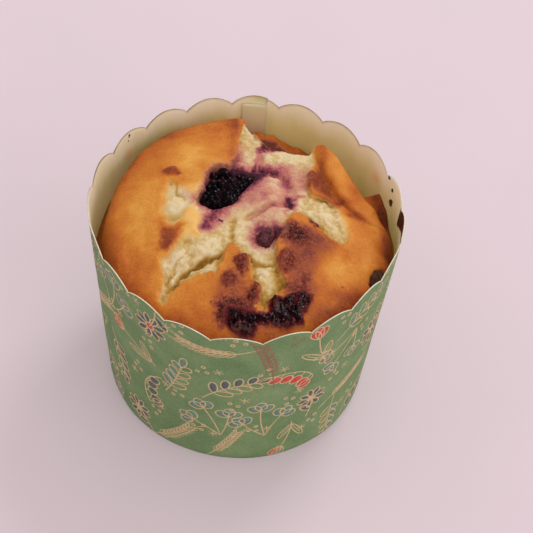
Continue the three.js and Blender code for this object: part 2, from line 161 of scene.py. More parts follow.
# Lines of (x, y, height) with their half width: lips of crust stand up, cracks and folds go down.
LIPS = (
    (4.0, ((-3.8, 27.4, 1.5), (-9, 26, 0.8), (-15, 22, 0.5), (-25, 0, 0.4))),
    (2.4, ((16.4, 22.2, 1.4), (18.6, 17.5, 0.7), (21.5, 12, 0.3))),
)
CRACKS = (
    (0.55, ((-4.5, -12.8, 0.5), (-7.5, -14.2, 1.2), (-10, -16, 1.2), (-13.5, -19.2, 0.8),
            (-15.4, -22, 0.3))),
    (0.3, ((-16.6, 7, 0.3), (-15.6, 4.2, 0.5), (-14, 2, 0.3))),
    (0.4, ((-12.2, -12.5, 0.3), (-14.4, -15.5, 0.4), (-15.6, -20, 0.3))),
    (0.35, ((-6.6, -9.8, 0.3), (-7.4, -11.6, 0.3))),
    (0.6, ((-2.8, -2.5, 0.25), (-3.4, -7, 0.45), (-2.6, -9.6, 0.3))),
    (0.6, ((0.8, -13, 0.7), (3.2, -14.6, 0.9), (6, -14.6, 0.4))),
    (0.7, ((14.5, 14.5, 0.5), (17, 9.8, 0.6), (20, 5.8, 0.5))),
    (0.8, ((0.3, -2.2, 0.5), (2.5, -0.4, 1.0), (4.6, 1.6, 1.0), (7.5, 2.4, 0.9), (10, 2.2, 0.5))),
    (1.0, ((0.6, 13, 0.8), (4, 12.4, 0.9), (8, 10.5, 1.0), (9.5, 6, 0.8))),
    (0.9, ((-25.3, -10, 0.2), (-23.4, -19.6, 0.35))),
    (0.8, ((-22.6, -4, 0.2), (-21.6, -11.3, 0.3))),
    (0.8, ((22.9, -10.1, 0.5), (24.6, -12.4, 0.4), (26.9, -14.7, 0.4))),
    (1.6, ((28.6, -1.0, 0.6), (31.5, -4.5, 1.2))),
)
# Crust on the left of each line that rolls over its neighbour: width of the roll, reach, and the
# line as (x, y, height).
FOLDS = (
    (2.2, 13, (
        (14.2, 24, 1.6), (14.7, 18.8, 1.9), (16, 14.7, 2.1), (17.2, 12.1, 2.2), (18.7, 9.8, 2.2),
        (20.8, 6.4, 2.1), (24.1, 3.5, 1.9), (27, 1.8, 1.3), (30, 1.5, 0.7), (33.5, 2.2, 0.4))),
    (1.5, 7, (
        (24, -9, 0.4), (20.5, -7.4, 0.8), (16.5, -4, 0.9), (13.5, -1.8, 0.9), (10.8, -1, 0.9),
        (8.6, -3.2, 0.8), (7.6, -6.3, 0.6))),
)

# Lumps and hollows: x, y, height, x radius, y radius.
LUMPS = (
    (3.6, 5.6, 1.9, 4.4, 4.0),
    (6.6, -1.4, 1.5, 4.0, 2.8),
    (-8, -11, 0.9, 3.4, 2.4),
    (-13.6, -14.2, 0.9, 1.6, 2.0),
    (-6.5, -17.2, 0.7, 2.4, 1.4),
    (4.5, -18.5, 0.7, 2.4, 3.0),
    (17, 1, 0.9, 3.0, 3.4),
    (8, 17.5, 0.8, 4.6, 2.0),
    (-15.6, 0, 0.8, 2.0, 3.0),
    (-12.5, -5.2, 0.6, 2.6, 2.2),
    (22.5, 11, 0.5, 4.5, 6.0),
    (1.5, 31.3, 1.2, 1.6, 1.3),
    (4.6, 31.0, 2.0, 1.6, 1.3),
    (7.5, 30.4, 1.0, 1.5, 1.3),
    (10.8, 29.4, 1.6, 1.6, 1.3),
)

# Lumps with sharp outlines that juice has stained: height, strength of the stain, outline.
STAINED_LUMPS = (
    (1.0, 0.4, ((-2, -14.8), (-1.4, -13.6), (-0.3, -13.1), (0.9, -12.7), (1.1, -14.7),
                (0.9, -16.9), (0.2, -18.3), (-0.9, -16.8))),
    (0.6, 0.3, ((-4.4, -19.4), (-3.8, -18), (-2.6, -17.6), (-1.4, -18.6), (-1.7, -20.2),
                (-2.9, -21), (-4.1, -20.7))),
    (0.9, 0.4, ((1.4, -23.1), (2.3, -21.4), (3.1, -20), (4.0, -20.4), (3.6, -22.4), (2.9, -24),
                (1.8, -24.4))),
    (0.8, 0.28, ((7.5, -14.8), (7.6, -12.2), (8.6, -11), (10.4, -11.3), (11.2, -13.4),
                 (10.8, -15.4), (9.6, -16.6), (8.2, -16))),
    (0.7, 0.75, ((13.8, -1.2), (14.4, -0.2), (15.9, -1.0), (16.2, -3), (15, -3.8), (13.9, -2.8))),
    (0.7, 0.5, ((12.9, 9.4), (12.7, 12.6), (13.2, 14.2), (14.8, 13.8), (15.8, 11.6), (15.2, 9.6),
                (13.6, 8.8))),
    (0.2, 0.2, ((7.2, -6.7), (8.2, -4.4), (10.8, -3.6), (12.6, -5), (14, -6.8), (12.6, -8.4),
                (10, -8.6), (8, -8))),
    (0.3, 0.75, ((-4.6, -25.2), (-3, -24.1), (0, -24.3), (2.6, -24.9), (3.4, -26.6), (0, -27.2),
                (-2.6, -28.6), (-3.6, -30.2), (-4.6, -27.6))),
    (1.3, 0.4, ((-19.5, 10), (-18, 10.9), (-16.6, 11.2), (-15.6, 9.3), (-17.8, 8.8))),
)

# Soft dough that closes round the upper berry, without open crumb.
DOUGH = (
    (-4.5, 0.5), (-3.5, 2.4), (0.2, 7), (3.5, 9.8), (6, 10.6), (9, 8.5), (11, 4), (11.5, 0.5),
    (9.6, -2.4), (7.8, -5.6), (5, -8.5), (2.5, -8.5), (0, -5), (-2.5, -2.5),
)

# Where crust fades into crumb instead of breaking off: x, y, strength, x radius, y radius.
SOFT_EDGES = (
    (-12.5, -8, 1.0, 3.5, 3),
    (-11, -2, 0.8, 2.2, 4.5),
    (-14.5, -12.5, 0.8, 3, 2.5),
    (-17.6, -16, 0.6, 1.5, 4),
    (-18.4, 1, 0.7, 1.6, 7),
    (-13.5, 5, 1.0, 3.5, 2.2),
    (-11, 1.5, 1.0, 1.8, 3.4),
    (-15.8, -5.5, 0.7, 2.4, 1.6),
    (-9.6, -4.4, 1.0, 1.6, 4.4),
    (21.6, 0.5, 0.9, 2.2, 7),
    (-16.8, -23.4, 0.5, 2, 3),
    (8.2, -4.6, 0.7, 1.8, 3),
    (14.5, 17, 0.6, 2, 4),
    (5.5, -19, 0.3, 3, 4),
)

# Ochre tone and painted shade in the crumb's hollows, paler where negative: x, y, strength, x
# radius, y radius.
SHADED_CRUMB = (
    (-2.8, -5.5, 0.26, 0.9, 4),
    (7.6, -17, 0.3, 1.1, 4),
    (8.6, -19.6, 0.26, 1.4, 2),
    (-16.2, -21, 0.12, 1.4, 3),
    (-9, -14.6, 0.2, 4, 1.6),
    (5, -22.8, 0.26, 1.6, 2),
    (14.6, 4.6, 0.2, 0.4, 1),
    (11.6, 3.4, 0.12, 1.5, 1.5),
    (-13, -10.5, 0.2, 3, 2.5),
    (-14.8, 1.5, -0.24, 3, 6),
    (8, 18.6, 0.1, 6, 3),
    (-15.4, -4, 0.12, 2, 1.4),
)

# Juice in crumb: x, y, strength, x radius, y radius, and streaks as (half width, line).
STAINS = (
    (-5.4, 5.6, 0.6, 5.6, 5.6),
    (-6.6, 12.2, 0.3, 4.4, 2.4),
    (1.7, 9.8, 0.6, 2.0, 2.6),
    (-1.2, 12, 0.5, 2.6, 1.5),
    (4.4, 12.8, 0.62, 2.4, 1.5),
    (8.2, 9.6, 0.62, 1.6, 2.8),
    (9.4, 4.8, 0.3, 1.4, 1.6),
    (6.8, 13.4, 0.2, 3.4, 2.0),
    (9.0, 3.8, 0.5, 1.7, 1.5),
    (3.5, 5, 0.24, 5, 5),
    (6.5, -1, 0.15, 4.5, 3),
    (11.6, 9.5, 0.26, 2.0, 3.5),
    (12.6, 13, 0.22, 1.3, 3.5),
    (7, 14.6, 0.2, 4.5, 1.6),
    (2.4, -5.5, 0.14, 2, 3),
    (3.2, -5.2, 0.24, 3, 2.4),
    (2.4, -8.6, 0.3, 1.4, 1.6),
    (7.4, -5.8, 0.7, 1.8, 1.8),
    (-7, -2.6, 0.5, 2.6, 2.4),
    (-8.8, -5.2, 0.5, 1.8, 2.0),
    (-13.6, 3.6, 0.1, 2.6, 2.6),
    (-1, 16.5, 0.14, 2.2, 5),
    (4.2, 20.6, 0.9, 2.2, 1.2),
    (4.8, 27.5, 0.7, 2.8, 2),
    (8, 23.5, 0.1, 5, 3),
    (3.4, 4.3, 0.12, 1.6, 1.4),
)
STREAKS = (
    (0.6, ((1, -2.2, 0.22), (3.2, -0.2, 0.3), (5.2, 1.6, 0.34), (7.6, 2.2, 0.3), (9.5, 2.8, 0.4))),
    (0.6, ((8.8, 4.5, 0.3), (10, 2.2, 0.35), (12.8, -0.9, 0.25))),
    (0.5, ((9.3, -2, 0.15), (8.3, 0, 0.2), (9.6, 1.8, 0.25))),
    (0.5, ((10.6, 5.2, 0.25), (12.4, 6.6, 0.25))),
    (0.6, ((2.4, 13.5, 0.35), (2.2, 19, 0.4), (2.6, 26, 0.4))),
    (1.0, ((-7.2, -0.5, 0.16), (-8.2, -4, 0.16), (-10, -7.4, 0.2))),
    (0.3, ((-5.9, -3.3, 1.2), (-5.4, -3.9, 1.2))),
    # juice stain, with painted shadow in the notch beside the upper berry
    (0.8, ((-4.4, 10.7, 1.0), (-1.2, 11.2, 0.9), (1.4, 10.6, 0.9), (2.6, 12.3, 0.5))),
    (0.5, ((0.6, 11.4, 0.5), (1.0, 14.3, 0.45), (1.4, 17, 0.3), (1.6, 21, 0.2))),
    (0.9, ((-3.6, 12.4, 0.3), (-3.1, 15.8, 0.5), (-3.0, 20, 0.3))),
    (1.1, ((1.5, 29.2, 0.8), (4, 28.8, 1.1), (7, 28.2, 0.9), (9.5, 27.4, 0.4))),
)

# Juice baked into crust: x, y, strength, x radius, y radius.
DARK_CRUST = (
    (9.8, -6.2, 0.7, 3.6, 2.2),
    (14, -8.2, 0.32, 5.0, 4.0),
    (18.4, -7.2, 0.24, 2.8, 1.8),
    (9.2, -13.6, 0.3, 2.2, 3.0),
    (12.8, -13, 0.34, 3.4, 5.0),
    (13.6, -17.8, 0.44, 1.5, 2.6),
    (10.8, -19.8, 0.48, 2.4, 2.2),
    (-0.8, -15.2, 0.34, 2.2, 2.6),
    (-2.6, -19.3, 0.3, 2.8, 2.0),
    (3.0, -22, 0.24, 1.6, 2.4),
    (-1, -21.8, 0.24, 5, 3.4),
    (16.2, 9.6, 0.16, 1.8, 3),
    (-4.6, -27, 0.3, 1.8, 3.4),
    (5, -30.4, 0.24, 7, 1.6),
    (13.5, -20.2, 0.24, 4, 1.2),
    (16, -24, 0.2, 1.4, 3),
    (0, -23.6, 0.3, 5, 1.2),
    (-3.7, 18, 0.14, 0.9, 5),
    (2, 30, 0.15, 2.5, 1.6),
    (-6.1, -24.9, 0.5, 0.3, 0.3),
    (21.9, -17.2, 0.5, 0.35, 0.3),
)

# How brown crust is, and where it is browner or paler, partly from toasting and partly painted
# highlight and shade: x, y, strength, x radius, y radius.
TOAST_BASE = 0.44
TOAST_AND_PAINTED_LIGHT = (
    # painted highlight: paler crust on the crown's upper left
    (-13, 15, -0.3, 5.5, 6),
    (-26.5, 2, -0.16, 3.4, 9),
    (-21, -2, -0.1, 2.6, 9),
    (-25, -4, -0.1, 2.6, 10),
    (-20, 25, 0.16, 8, 4),
    (-20, 20, 0.1, 12, 9),
    (24, 8, 0.14, 3, 5),
    (-27.5, 14, 0.14, 3.5, 10),
    (-28.5, -8, 0.12, 3, 12),
    (-24, -17, 0.1, 2.4, 7),
    (-12, -4, -0.5, 2.2, 4),
    (-11, 5, -0.2, 2.6, 4),
    (-17.8, 9.9, 0.36, 1.9, 1.1),
    (-10.6, 11.5, 0.14, 1.5, 3),
    (-4.3, 20, 0.2, 1.2, 8),
    (-4.8, 27, 0.26, 2.6, 3),
    (-9, -28, 0.1, 8, 4),
    (-12, -24.5, -0.06, 4, 3.5),
    (-3, -12, 0.08, 1.6, 2),
    (-1, -21.5, 0.16, 5, 3),
    (20, -13.5, -0.2, 4, 4),
    (13, -16, 0.26, 4.4, 6),
    (14.5, -8, 0.32, 6, 4.4),
    (18.5, -24, 0.2, 5, 3),
    (9.4, -10, -0.06, 2, 1.8),
    (20, -19, 0.16, 6, 1.6),
    (25, -20.5, 0.14, 5.5, 4),
    (26, -11, -0.12, 2.6, 3),
    (31.6, -3, 0.2, 1.4, 4),
    (20.5, 15, -0.12, 2.4, 8),
    (24.5, 14, 0.12, 1.6, 6),
    (27, 5.5, -0.1, 3.4, 2.8),
    (16.2, 21, 0.22, 1.2, 4),
    # painted shade: these four rows make the crust browner in the shadow under the fold's edge
    (15.4, 12.4, 0.5, 1.5, 3.6),
    (17.4, 9, 0.4, 1.6, 2.8),
    (20.2, 5.8, 0.36, 2.2, 1.6),
    (24.2, 2.6, 0.24, 3, 1.2),
    (28.6, 19, 0.22, 1.8, 5),
    (30.8, 9, 0.25, 2, 7),
    (5, 31.5, -0.1, 7, 2.4),
)

# Areas with outlines of their own that are browner: strength, softness of the edge, outline.
TOASTED_AREAS = (
    (0.4, 1.0, ((-18.6, -5.6), (-13.6, -5.4), (-14.4, -8.7), (-16, -12.5), (-18.4, -12.4))),
)

# The jam's outline on the crust, under the front berries.
JAM = (
    (-3.3, -26.6), (-2.6, -25.6), (-1.2, -25.6), (0.6, -26), (3, -26.2), (4.9, -26.2), (6.2, -26),
    (5.9, -23.4), (7.5, -21.9), (9.1, -22.5), (10.1, -21.8), (11.9, -20.6), (13.8, -20.1),
    (15.8, -20.7), (15.6, -22.6), (14.7, -24.3), (14, -25.6), (14.1, -27.5), (11.3, -28.9),
    (8.9, -29.3), (6.8, -29.1), (5.1, -29.3), (3.9, -30.4), (3.3, -31.7), (1.9, -32.1),
    (0.5, -31.7), (-1.6, -30.9), (-2.8, -29.8), (-3.3, -28.4),
)

# The berries' outlines from above.
BERRY_OUTLINES = {
    "berry_upper": (
        (-9.2, 8.4), (-8.4, 10.6), (-6.7, 11.4), (-4.9, 11.2), (-3.8, 10), (-2.2, 10.7),
        (0.8, 10.2), (0.5, 8.1), (-1.7, 5.0), (-4.0, 1.6), (-6.0, 0.4), (-7.7, -0.1),
        (-10.1, 0.5), (-11.2, 1.5), (-10.7, 3.4), (-9.4, 5.2),
    ),
    "berry_middle": (
        (2.8, -7.6), (3.4, -6.0), (4.6, -5.2), (6.1, -5.4), (6.4, -6.8), (5.7, -8.6),
        (4.7, -9.9), (3.3, -9.3),
    ),
    "berry_front_left": (
        (-2.4, -27.9), (-2.2, -26.9), (-1.2, -26.3), (-0.1, -26.8), (0.5, -27.8), (1.6, -28.4),
        (3.0, -29.1), (3.4, -30.1), (2.9, -31.4), (1.9, -31.8), (0.5, -31.4), (-1.4, -30.5),
        (-2.2, -29.3),
    ),
    "berry_front_right": (
        (6.2, -23.4), (7.5, -22.1), (9.1, -22.9), (10.1, -22.2), (11.9, -20.9), (13.8, -20.4),
        (15.5, -20.8), (15.3, -22.3), (14.4, -24.1), (13.2, -25.4), (10.5, -25.7), (8, -25.4),
        (6.6, -25),
    ),
    "berry_rim": (
        (27.8, -14.3), (28.1, -12.2), (29.1, -10.4), (30.5, -9.0), (31.4, -8.6), (31.1, -10.6),
        (30, -13.2), (28.8, -15.0),
    ),
}
# How deep the crust is sunk under a berry, and juice soaked in round one: strength, reach.
BERRY_BEDS = ((1.9, "berry_upper"), (0.6, "berry_middle"), (1.2, "berry_rim"))
HALOES = ((0.36, 1.3, "berry_upper"), (0.3, 1.9, "berry_middle"))
# The string of jam from one front berry to the other.
JAM_ROPE = (
    (2.0, -27.6), (3.6, -26.8), (5.2, -27.0), (6.4, -26.2), (8, -26.0), (10.5, -26.2),
    (13.0, -25.6), (13.9, -26.6), (13.7, -27.4), (11.3, -28.5), (8.9, -28.9), (6.8, -28.7),
    (5.2, -28.6), (3.4, -28.7),
)
DRUPELET = 1.0  # mean radius of the upper berry's
CLUSTER_SINK = 0.6  # of its edge
CLUSTER_RISE = 0.35  # of its middle
BLOB_STEP = 0.2
BLOB_SINK = 0.7

# Noise on the surface: height, size of its largest features, octaves, seed.
PUFFS = ((0.65, 2.6, 3, 35), (0.3, 1.2, 2, 37))
CRUST_SKIN = ((0.2, 7.0, 2, 51), (0.035, 1.2, 2, 55))

# Marks on the paper's inner face: azimuth in degrees, height, size.
SPECKS = (
    (143.7, 52.0, 0.28), (144.5, 50.6, 0.22), (24.8, 51.1, 0.42), (20.8, 49.6, 0.4),
    (18.9, 46.5, 0.95),
)
# The lower edge of the dried jam at the right: azimuth in degrees, height.
SMEAR = ((-8.0, 52.2), (-5.0, 51.2), (0.0, 49.6), (4.5, 47.6), (9.4, 45.4), (10.0, 50.5))

FLOOR_REACH = 1500
SKY_DIRECTION = (60, 70)  # azimuth and elevation, in degrees, of the brightest place
SKY_STRENGTH = (0.87, 1.0)  # from the darkest place to the brightest

# Metres and degrees, as the photograph's perspective gives them.
CAMERA_DISTANCE = 0.51524
CAMERA_ELEVATION = 52.574
CAMERA_PAN = -0.6314
CAMERA_TILT = 2.4282
CAMERA_ROLL = 4.458
CAMERA_LENS = 145.0


# ---- shared geometry ----------------------------------------------------------------------


def smoothstep(low, high, value):
    t = np.clip((value - low) / (high - low), 0, 1)
    return t * t * (3 - 2 * t)


def nearest_on_line(x, y, line):
    """Distance to a line, the value that its points carry there, and 1 on its left, else -1."""
    best = np.full(np.shape(x), np.inf)
    value, side = np.zeros((2, *np.shape(x)))
    for a, b in zip(line, line[1:]):
        dx, dy = b[0] - a[0], b[1] - a[1]
        t = np.clip(((x - a[0]) * dx + (y - a[1]) * dy) / (dx * dx + dy * dy), 0, 1)
        distance = np.hypot(x - a[0] - t * dx, y - a[1] - t * dy)
        closer = distance < best
        best = np.where(closer, distance, best)
        side = np.where(closer, np.sign(dx * (y - a[1]) - dy * (x - a[0])), side)
        if len(a) > 2:
            value = np.where(closer, a[2] + t * (b[2] - a[2]), value)
    return best, value, side


def depth_inside(x, y, *outlines):
    """Distance to an outline, positive inside it; with several, the deepest counts."""
    depths = []
    for outline in outlines:
        closed = (*outline, outline[0])
        inside = np.zeros(np.shape(x), bool)
        for (ax, ay), (bx, by) in zip(closed, closed[1:]):
            if ay != by:
                inside ^= ((ay > y) != (by > y)) & (x < (bx - ax) * (y - ay) / (by - ay) + ax)
        distance = nearest_on_line(x, y, closed)[0]
        depths.append(np.where(inside, distance, -distance))
    return np.maximum.reduce(depths)


def bumps(x, y, rows):
    """Sum of round bumps, each (x, y, height, x radius, y radius)."""
    total = np.zeros(np.shape(x))
    for cx, cy, height, rx, ry in rows:
        total += height * np.exp(-(((x - cx) / rx) ** 2) - ((y - cy) / ry) ** 2)
    return total


def ridges(x, y, rows):
    """Sum of round ridges, each (half width, line of (x, y, height))."""
    total = np.zeros(np.shape(x))
    for width, line in rows:
        distance, height, _ = nearest_on_line(x, y, line)
        total += height * np.exp(-((distance / width) ** 2))
    return total


def gradient_noise(x, y, seed):
    """Smooth noise, about -0.7 to 0.7, with features one unit across."""
    size = 128
    angles = np.random.default_rng(seed).uniform(0, TAU, (size, size))
    xi, yi = np.floor(x).astype(int), np.floor(y).astype(int)
    fx, fy = x - xi, y - yi
    u, v = fx**3 * (fx * (fx * 6 - 15) + 10), fy**3 * (fy * (fy * 6 - 15) + 10)

    def corner(i, j):
        angle = angles[(xi + i) % size, (yi + j) % size]
        return np.cos(angle) * (fx - i) + np.sin(angle) * (fy - j)

    low = corner(0, 0) * (1 - u) + corner(1, 0) * u
    high = corner(0, 1) * (1 - u) + corner(1, 1) * u
    return low * (1 - v) + high * v


def fractal_noise(x, y, size, octaves, seed):
    """Noise with its largest features about `size` millimetres across."""
    total = np.zeros(np.shape(x))
    for i in range(octaves):
        scale = 2.03**i / size
        total += gradient_noise(x * scale + 31.7 * i, y * scale - 17.3 * i, seed + i) / 2**i
    return total


def wandering(x, y, amount, size, octaves, seed):
    """Places moved about by noise, which makes what is drawn with them uneven."""
    return (x + amount * fractal_noise(x, y, size, octaves, seed),
            y + amount * fractal_noise(x, y, size, octaves, seed + 1))


def blurred(values, reach):
    """A grid averaged over squares, twice."""
    for _ in range(2):
        for axis in (0, 1):
            steps = [np.roll(values, k, axis) for k in range(-reach, reach + 1)]
            values = sum(steps) / len(steps)
    return values


def round_axis(radius, azimuth, z):
    """Points from their distance to the z axis, their azimuth and their height."""
    x, y = radius * np.cos(azimuth), radius * np.sin(azimuth)
    return np.stack(np.broadcast_arrays(x, y, z), -1)


def disc_grid(count):
    """Radius share and azimuth of a square grid's points, folded onto a disc."""
    axis = np.linspace(-1, 1, count + 1)
    u, v = np.meshgrid(axis, axis)
    wide = np.abs(u) >= np.abs(v)
    across = np.where(wide, u, v)
    along = np.where(wide, v, -u)
    turn = math.pi / 4 * along / np.where(across == 0, 1, across)
    start = np.where(wide, 0, math.pi / 2) + np.where(across < 0, math.pi, 0)
    return np.abs(across), start + turn


def quads_of(grid):
    """Faces between neighbours in a grid of point numbers."""
    corners = [grid[:-1, :-1], grid[:-1, 1:], grid[1:, 1:], grid[1:, :-1]]
    return np.stack(corners, -1).reshape(-1, 4)


def border_of(grid):
    """The point numbers round a grid's edge."""
    return np.concatenate([grid[0, :-1], grid[:-1, -1], grid[-1, :0:-1], grid[:0:-1, 0]])


def make_mesh(name, points, faces, materials, face_materials=None):
    """A new smooth object from points in millimetres."""
    mesh = bpy.data.meshes.new(name)
    mesh.from_pydata((np.asarray(points, float) * MM).tolist(), [], faces)
    for material in materials:
        mesh.materials.append(material)
    if face_materials is not None:
        mesh.polygons.foreach_set("material_index", np.asarray(face_materials, np.int32))
    mesh.update()
    mesh.shade_smooth()
    piece = bpy.data.objects.new(name, mesh)
    bpy.context.scene.collection.objects.link(piece)
    return piece


def make_sheet(name, front, back, materials, places=(0, 0, 0)):
    """A closed sheet between two grids of points, with materials for front, back and edge."""
    grid = np.arange(front[..., 0].size).reshape(front.shape[:2])
    quads, border, size = quads_of(grid), border_of(grid), grid.size
    onward = np.roll(border, -1)
    edge = np.stack([border, border + size, onward + size, onward], -1)
    faces = np.concatenate([quads, quads[:, ::-1] + size, edge]).tolist()
    points = np.concatenate([front.reshape(-1, 3), back.reshape(-1, 3)])
    face_materials = np.repeat(places, [len(quads), len(quads), len(edge)])
    return make_mesh(name, points, faces, materials, face_materials)


def set_attribute(piece, name, values):
    """Values for a material at every point of a piece, or one value for all of them."""
    attribute = piece.data.attributes.new(name, "FLOAT", "POINT")
    values = np.broadcast_to(values, len(piece.data.vertices))
    attribute.data.foreach_set("value", np.array(values, np.float32))


def ride(piece, slot, *nodes):
    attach(piece, "root")
    if nodes:
        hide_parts(*nodes)


# ---- the case -----------------------------------------------------------------------------


def paper_radius(azimuth, z):
    """Radius of the paper's outer face where it is one layer, a little soft and uneven."""
    waves = sum(c * np.cos(n * azimuth) + s * np.sin(n * azimuth) for n, c, s in OUT_OF_ROUND)
    cad_wall = BASE_RADIUS + (RIM_RADIUS + waves - BASE_RADIUS) * z / RIM_HEIGHT
    x, y = 30 * np.cos(azimuth), 30 * np.sin(azimuth)
    soft = np.clip(0.5 + 0.8 * fractal_noise(x + 0.5 * z, y - 0.3 * z, 15.0, 2, 101), 0, 1)
    return cad_wall - PAPER_INSET - PAPER_SOFTNESS * soft


def sheet_radius(azimuth, z, column):
    """Radius of the sheet's outer face, which laps over its end and bends in at its foot."""
    lap = SEAM_LAP * (1 - smoothstep(SEAM_COLUMNS, SEAM_COLUMNS + SEAM_FADE, column))
    return paper_radius(azimuth, z) + lap - BASE_ROUNDING * np.exp(-z / BASE_ROUNDING_HEIGHT)


def rim_height(azimuth):
    wave = np.abs(np.sin(SCALLOPS / 2 * (azimuth - FIRST_NOTCH)))
    return RIM_HEIGHT + SCALLOP_RISE * wave**0.8


def make_wall(papers, shown_through):
    """The paper as one sheet that goes once round and overlaps itself at the seam."""
    column = np.arange(SHEET_COLUMNS + SEAM_COLUMNS + 1)
    azimuth = SHEET_START + column * COLUMN_ANGLE
    doubled = column > SHEET_COLUMNS
    top = np.where(doubled, INNER_END_HEIGHT, rim_height(azimuth))
    z = np.linspace(0, 1, WALL_ROWS + 1)[:, None] * top
    outer = sheet_radius(azimuth, z, column)
    sides = (round_axis(radius, azimuth, z) for radius in (outer, outer - PAPER))
    piece = make_sheet("paper_wall", *sides, papers, (0, 1, 2))

    red = np.zeros(z.shape)
    for s, height in shown_through:
        across = (azimuth * PRINT_RADIUS - s + PRINT_LENGTH / 2) % PRINT_LENGTH - PRINT_LENGTH / 2
        red = np.maximum(red, np.exp(-((across**2 + (z - height) ** 2) / 1.6)))
    above_end = smoothstep(0.1, 0.9, z - INNER_END_HEIGHT) * smoothstep(11, 4, column)
    shades = {
        "show_through": 0.6 * red, "below_edge": top - z, "green_patch": 0.85 * above_end,
        "scorched": smoothstep(0.05, 0.5, np.sin(azimuth - 0.2)) * ~doubled, "doubled": doubled,
    }
    for name, values in shades.items():
        set_attribute(piece, name, np.tile(np.broadcast_to(values, z.shape).ravel(), 2))
    return piece


def make_bottom(papers):
    """The recessed disc that closes the case, pressed with a shallow ring."""
    share, azimuth = disc_grid(BOTTOM_GRID)
    radius = share * (paper_radius(azimuth, BASE_RECESS) - PAPER)
    x, y = radius * np.cos(azimuth), radius * np.sin(azimuth)
    ring = 0.16 * np.exp(-(((radius - PRESSED_RING) / 0.9) ** 2))
    low = BASE_RECESS + ring + 0.04 * fractal_noise(x, y, 12, 2, 111)
    sides = (np.stack([x, y, z], -1) for z in (low + PAPER, low))
    piece = make_sheet("paper_bottom", *sides, papers, (1, 0, 0))
    for name in ("show_through", "green_patch", "scorched", "doubled"):
        set_attribute(piece, name, 0)
    set_attribute(piece, "below_edge", RIM_HEIGHT)
    return piece


# ---- the print, drawn on the unrolled paper: x along it and y up, in millimetres ----------


def turned(points, angle):
    c, s = math.cos(angle), math.sin(angle)
    return points @ np.array([(c, s), (-s, c)])


def stem(length, bend, count=9):
    """A line that starts upwards and turns by `bend` on its way."""
    heading = math.pi / 2 + bend * np.linspace(0, 1, count - 1)
    step = length / (count - 1) * np.stack([np.cos(heading), np.sin(heading)], -1)
    return np.concatenate([[(0.0, 0.0)], np.cumsum(step, 0)])


def heading_at(line, i):
    dx, dy = line[min(i + 1, len(line) - 1)] - line[max(i - 1, 0)]
    return math.atan2(dy, dx)


def ray(foot, heading, length):
    """A straight line from its foot."""
    tip = foot + turned(np.array([(length, 0.0)]), heading)[0]
    return np.linspace(foot, tip, 4)


def leaf(start, heading, length, width, pointed=1.0):
    """A closed outline from its foot to its tip and back."""
    t = np.linspace(0, math.pi, 8)
    along = length * (1 - np.cos(t)) / 2
    across = width / 2 * np.sin(t) * (1 - 0.25 * pointed * np.cos(t)) ** 0.5
    upper = np.stack([along, across], -1)
    outline = np.concatenate([upper, (upper * (1, -1))[-2:0:-1]])[::-1]
    return turned(outline, heading) + start


class Drawing:
    """Strokes and filled outlines of one motif."""

    def __init__(self):
        self.strokes = []
        self.fills = []

    def line(self, points, width=LINE):
        self.strokes.append((points, width, False))

    def shape(self, outline, colour=None, width=LINE):
        self.strokes.append((outline, width, True))
        if colour is not None:
            self.fills.append((outline, colour))


def laurel(drawing, bend, colour):
    """A twig with pairs of leaves and one at its tip."""
    line = stem(10.5, bend, 11)
    drawing.line(line)
    for i in range(3, 10, 2):
        for side in (1, -1):
            angle = heading_at(line, i) + side * 0.85
            outline = leaf(line[i], angle, 3.3 - 0.12 * i, 1.35)
            drawing.shape(outline, colour if side > 0 else None)
    drawing.shape(leaf(line[-1], heading_at(line, 10), 2.8, 1.3), colour)


def tulip(drawing, bend, colour):
    """A bud of three petals on a stem with two long leaves."""
    line = stem(8.0, bend)
    drawing.line(line)
    for turn, length in ((0.42, 3.0), (-0.42, 3.0), (0, 3.3)):
        drawing.shape(leaf(line[-1], heading_at(line, 8) + turn, length, 1.5), colour)
    for turn, length in ((0.5, 5.4), (-0.55, 4.4)):
        angle = heading_at(line, 1) + turn
        drawing.shape(leaf(line[1], angle, length, 1.2))
        drawing.line(ray(line[1], angle, length * 0.8), LINE * 0.7)


def daisy(drawing, bend, colour):
    """A flower with round petals and a dotted middle."""
    line = stem(6.0, bend)
    drawing.line(line)
    middle = line[-1]
    petals = 9
    for i in range(petals):
        angle = TAU * i / petals
        foot = middle + 0.75 * np.array([math.cos(angle), math.sin(angle)])
        drawing.shape(leaf(foot, angle, 2.2, 1.2, -1.2), GREY)
    drawing.shape(leaf(middle - (0.7, 0), 0, 1.4, 1.4, 0), colour)
    drawing.shape(leaf(line[3], heading_at(line, 3) + 0.9, 3.0, 1.3), GREY)


def wheat(drawing, bend, colour):
    """An ear of grains with fine awns."""
    line = stem(12.0, bend, 13)
    drawing.line(line)
    for i in range(4, 13):
        angle = heading_at(line, i)
        for side in (1, -1):
            drawing.shape(leaf(line[i], angle + side * 0.5, 1.7, 0.7), colour, LINE * 0.8)
            drawing.line(ray(line[i], angle + side * 0.33, 3.6), LINE * 0.55)


def clover(drawing, bend, colour):
    """Three stalks from one foot, each with three round leaves."""
    for turn, length in ((-0.55, 6.5), (0.0, 8.5), (0.6, 6.0)):
        line = turned(stem(length, bend), turn)
        drawing.line(line)
        for fan in (-1.15, 0, 1.15):
            drawing.shape(leaf(line[-1], heading_at(line, 8) + fan, 2.3, 2.0, -1.0), colour)


def bells(drawing, bend, colour):
    """An arching stalk with hanging bell flowers."""
    line = stem(12.0, bend + math.copysign(1.3, bend), 13)
    drawing.line(line)
    for i in (5, 7, 9, 11, 12):
        drop = line[i] + (0.15, -1.0)
        drawing.line(np.array([line[i], drop]), LINE * 0.8)
        drawing.shape(leaf(drop, -math.pi / 2, 2.4, 1.9, -1.6), colour)


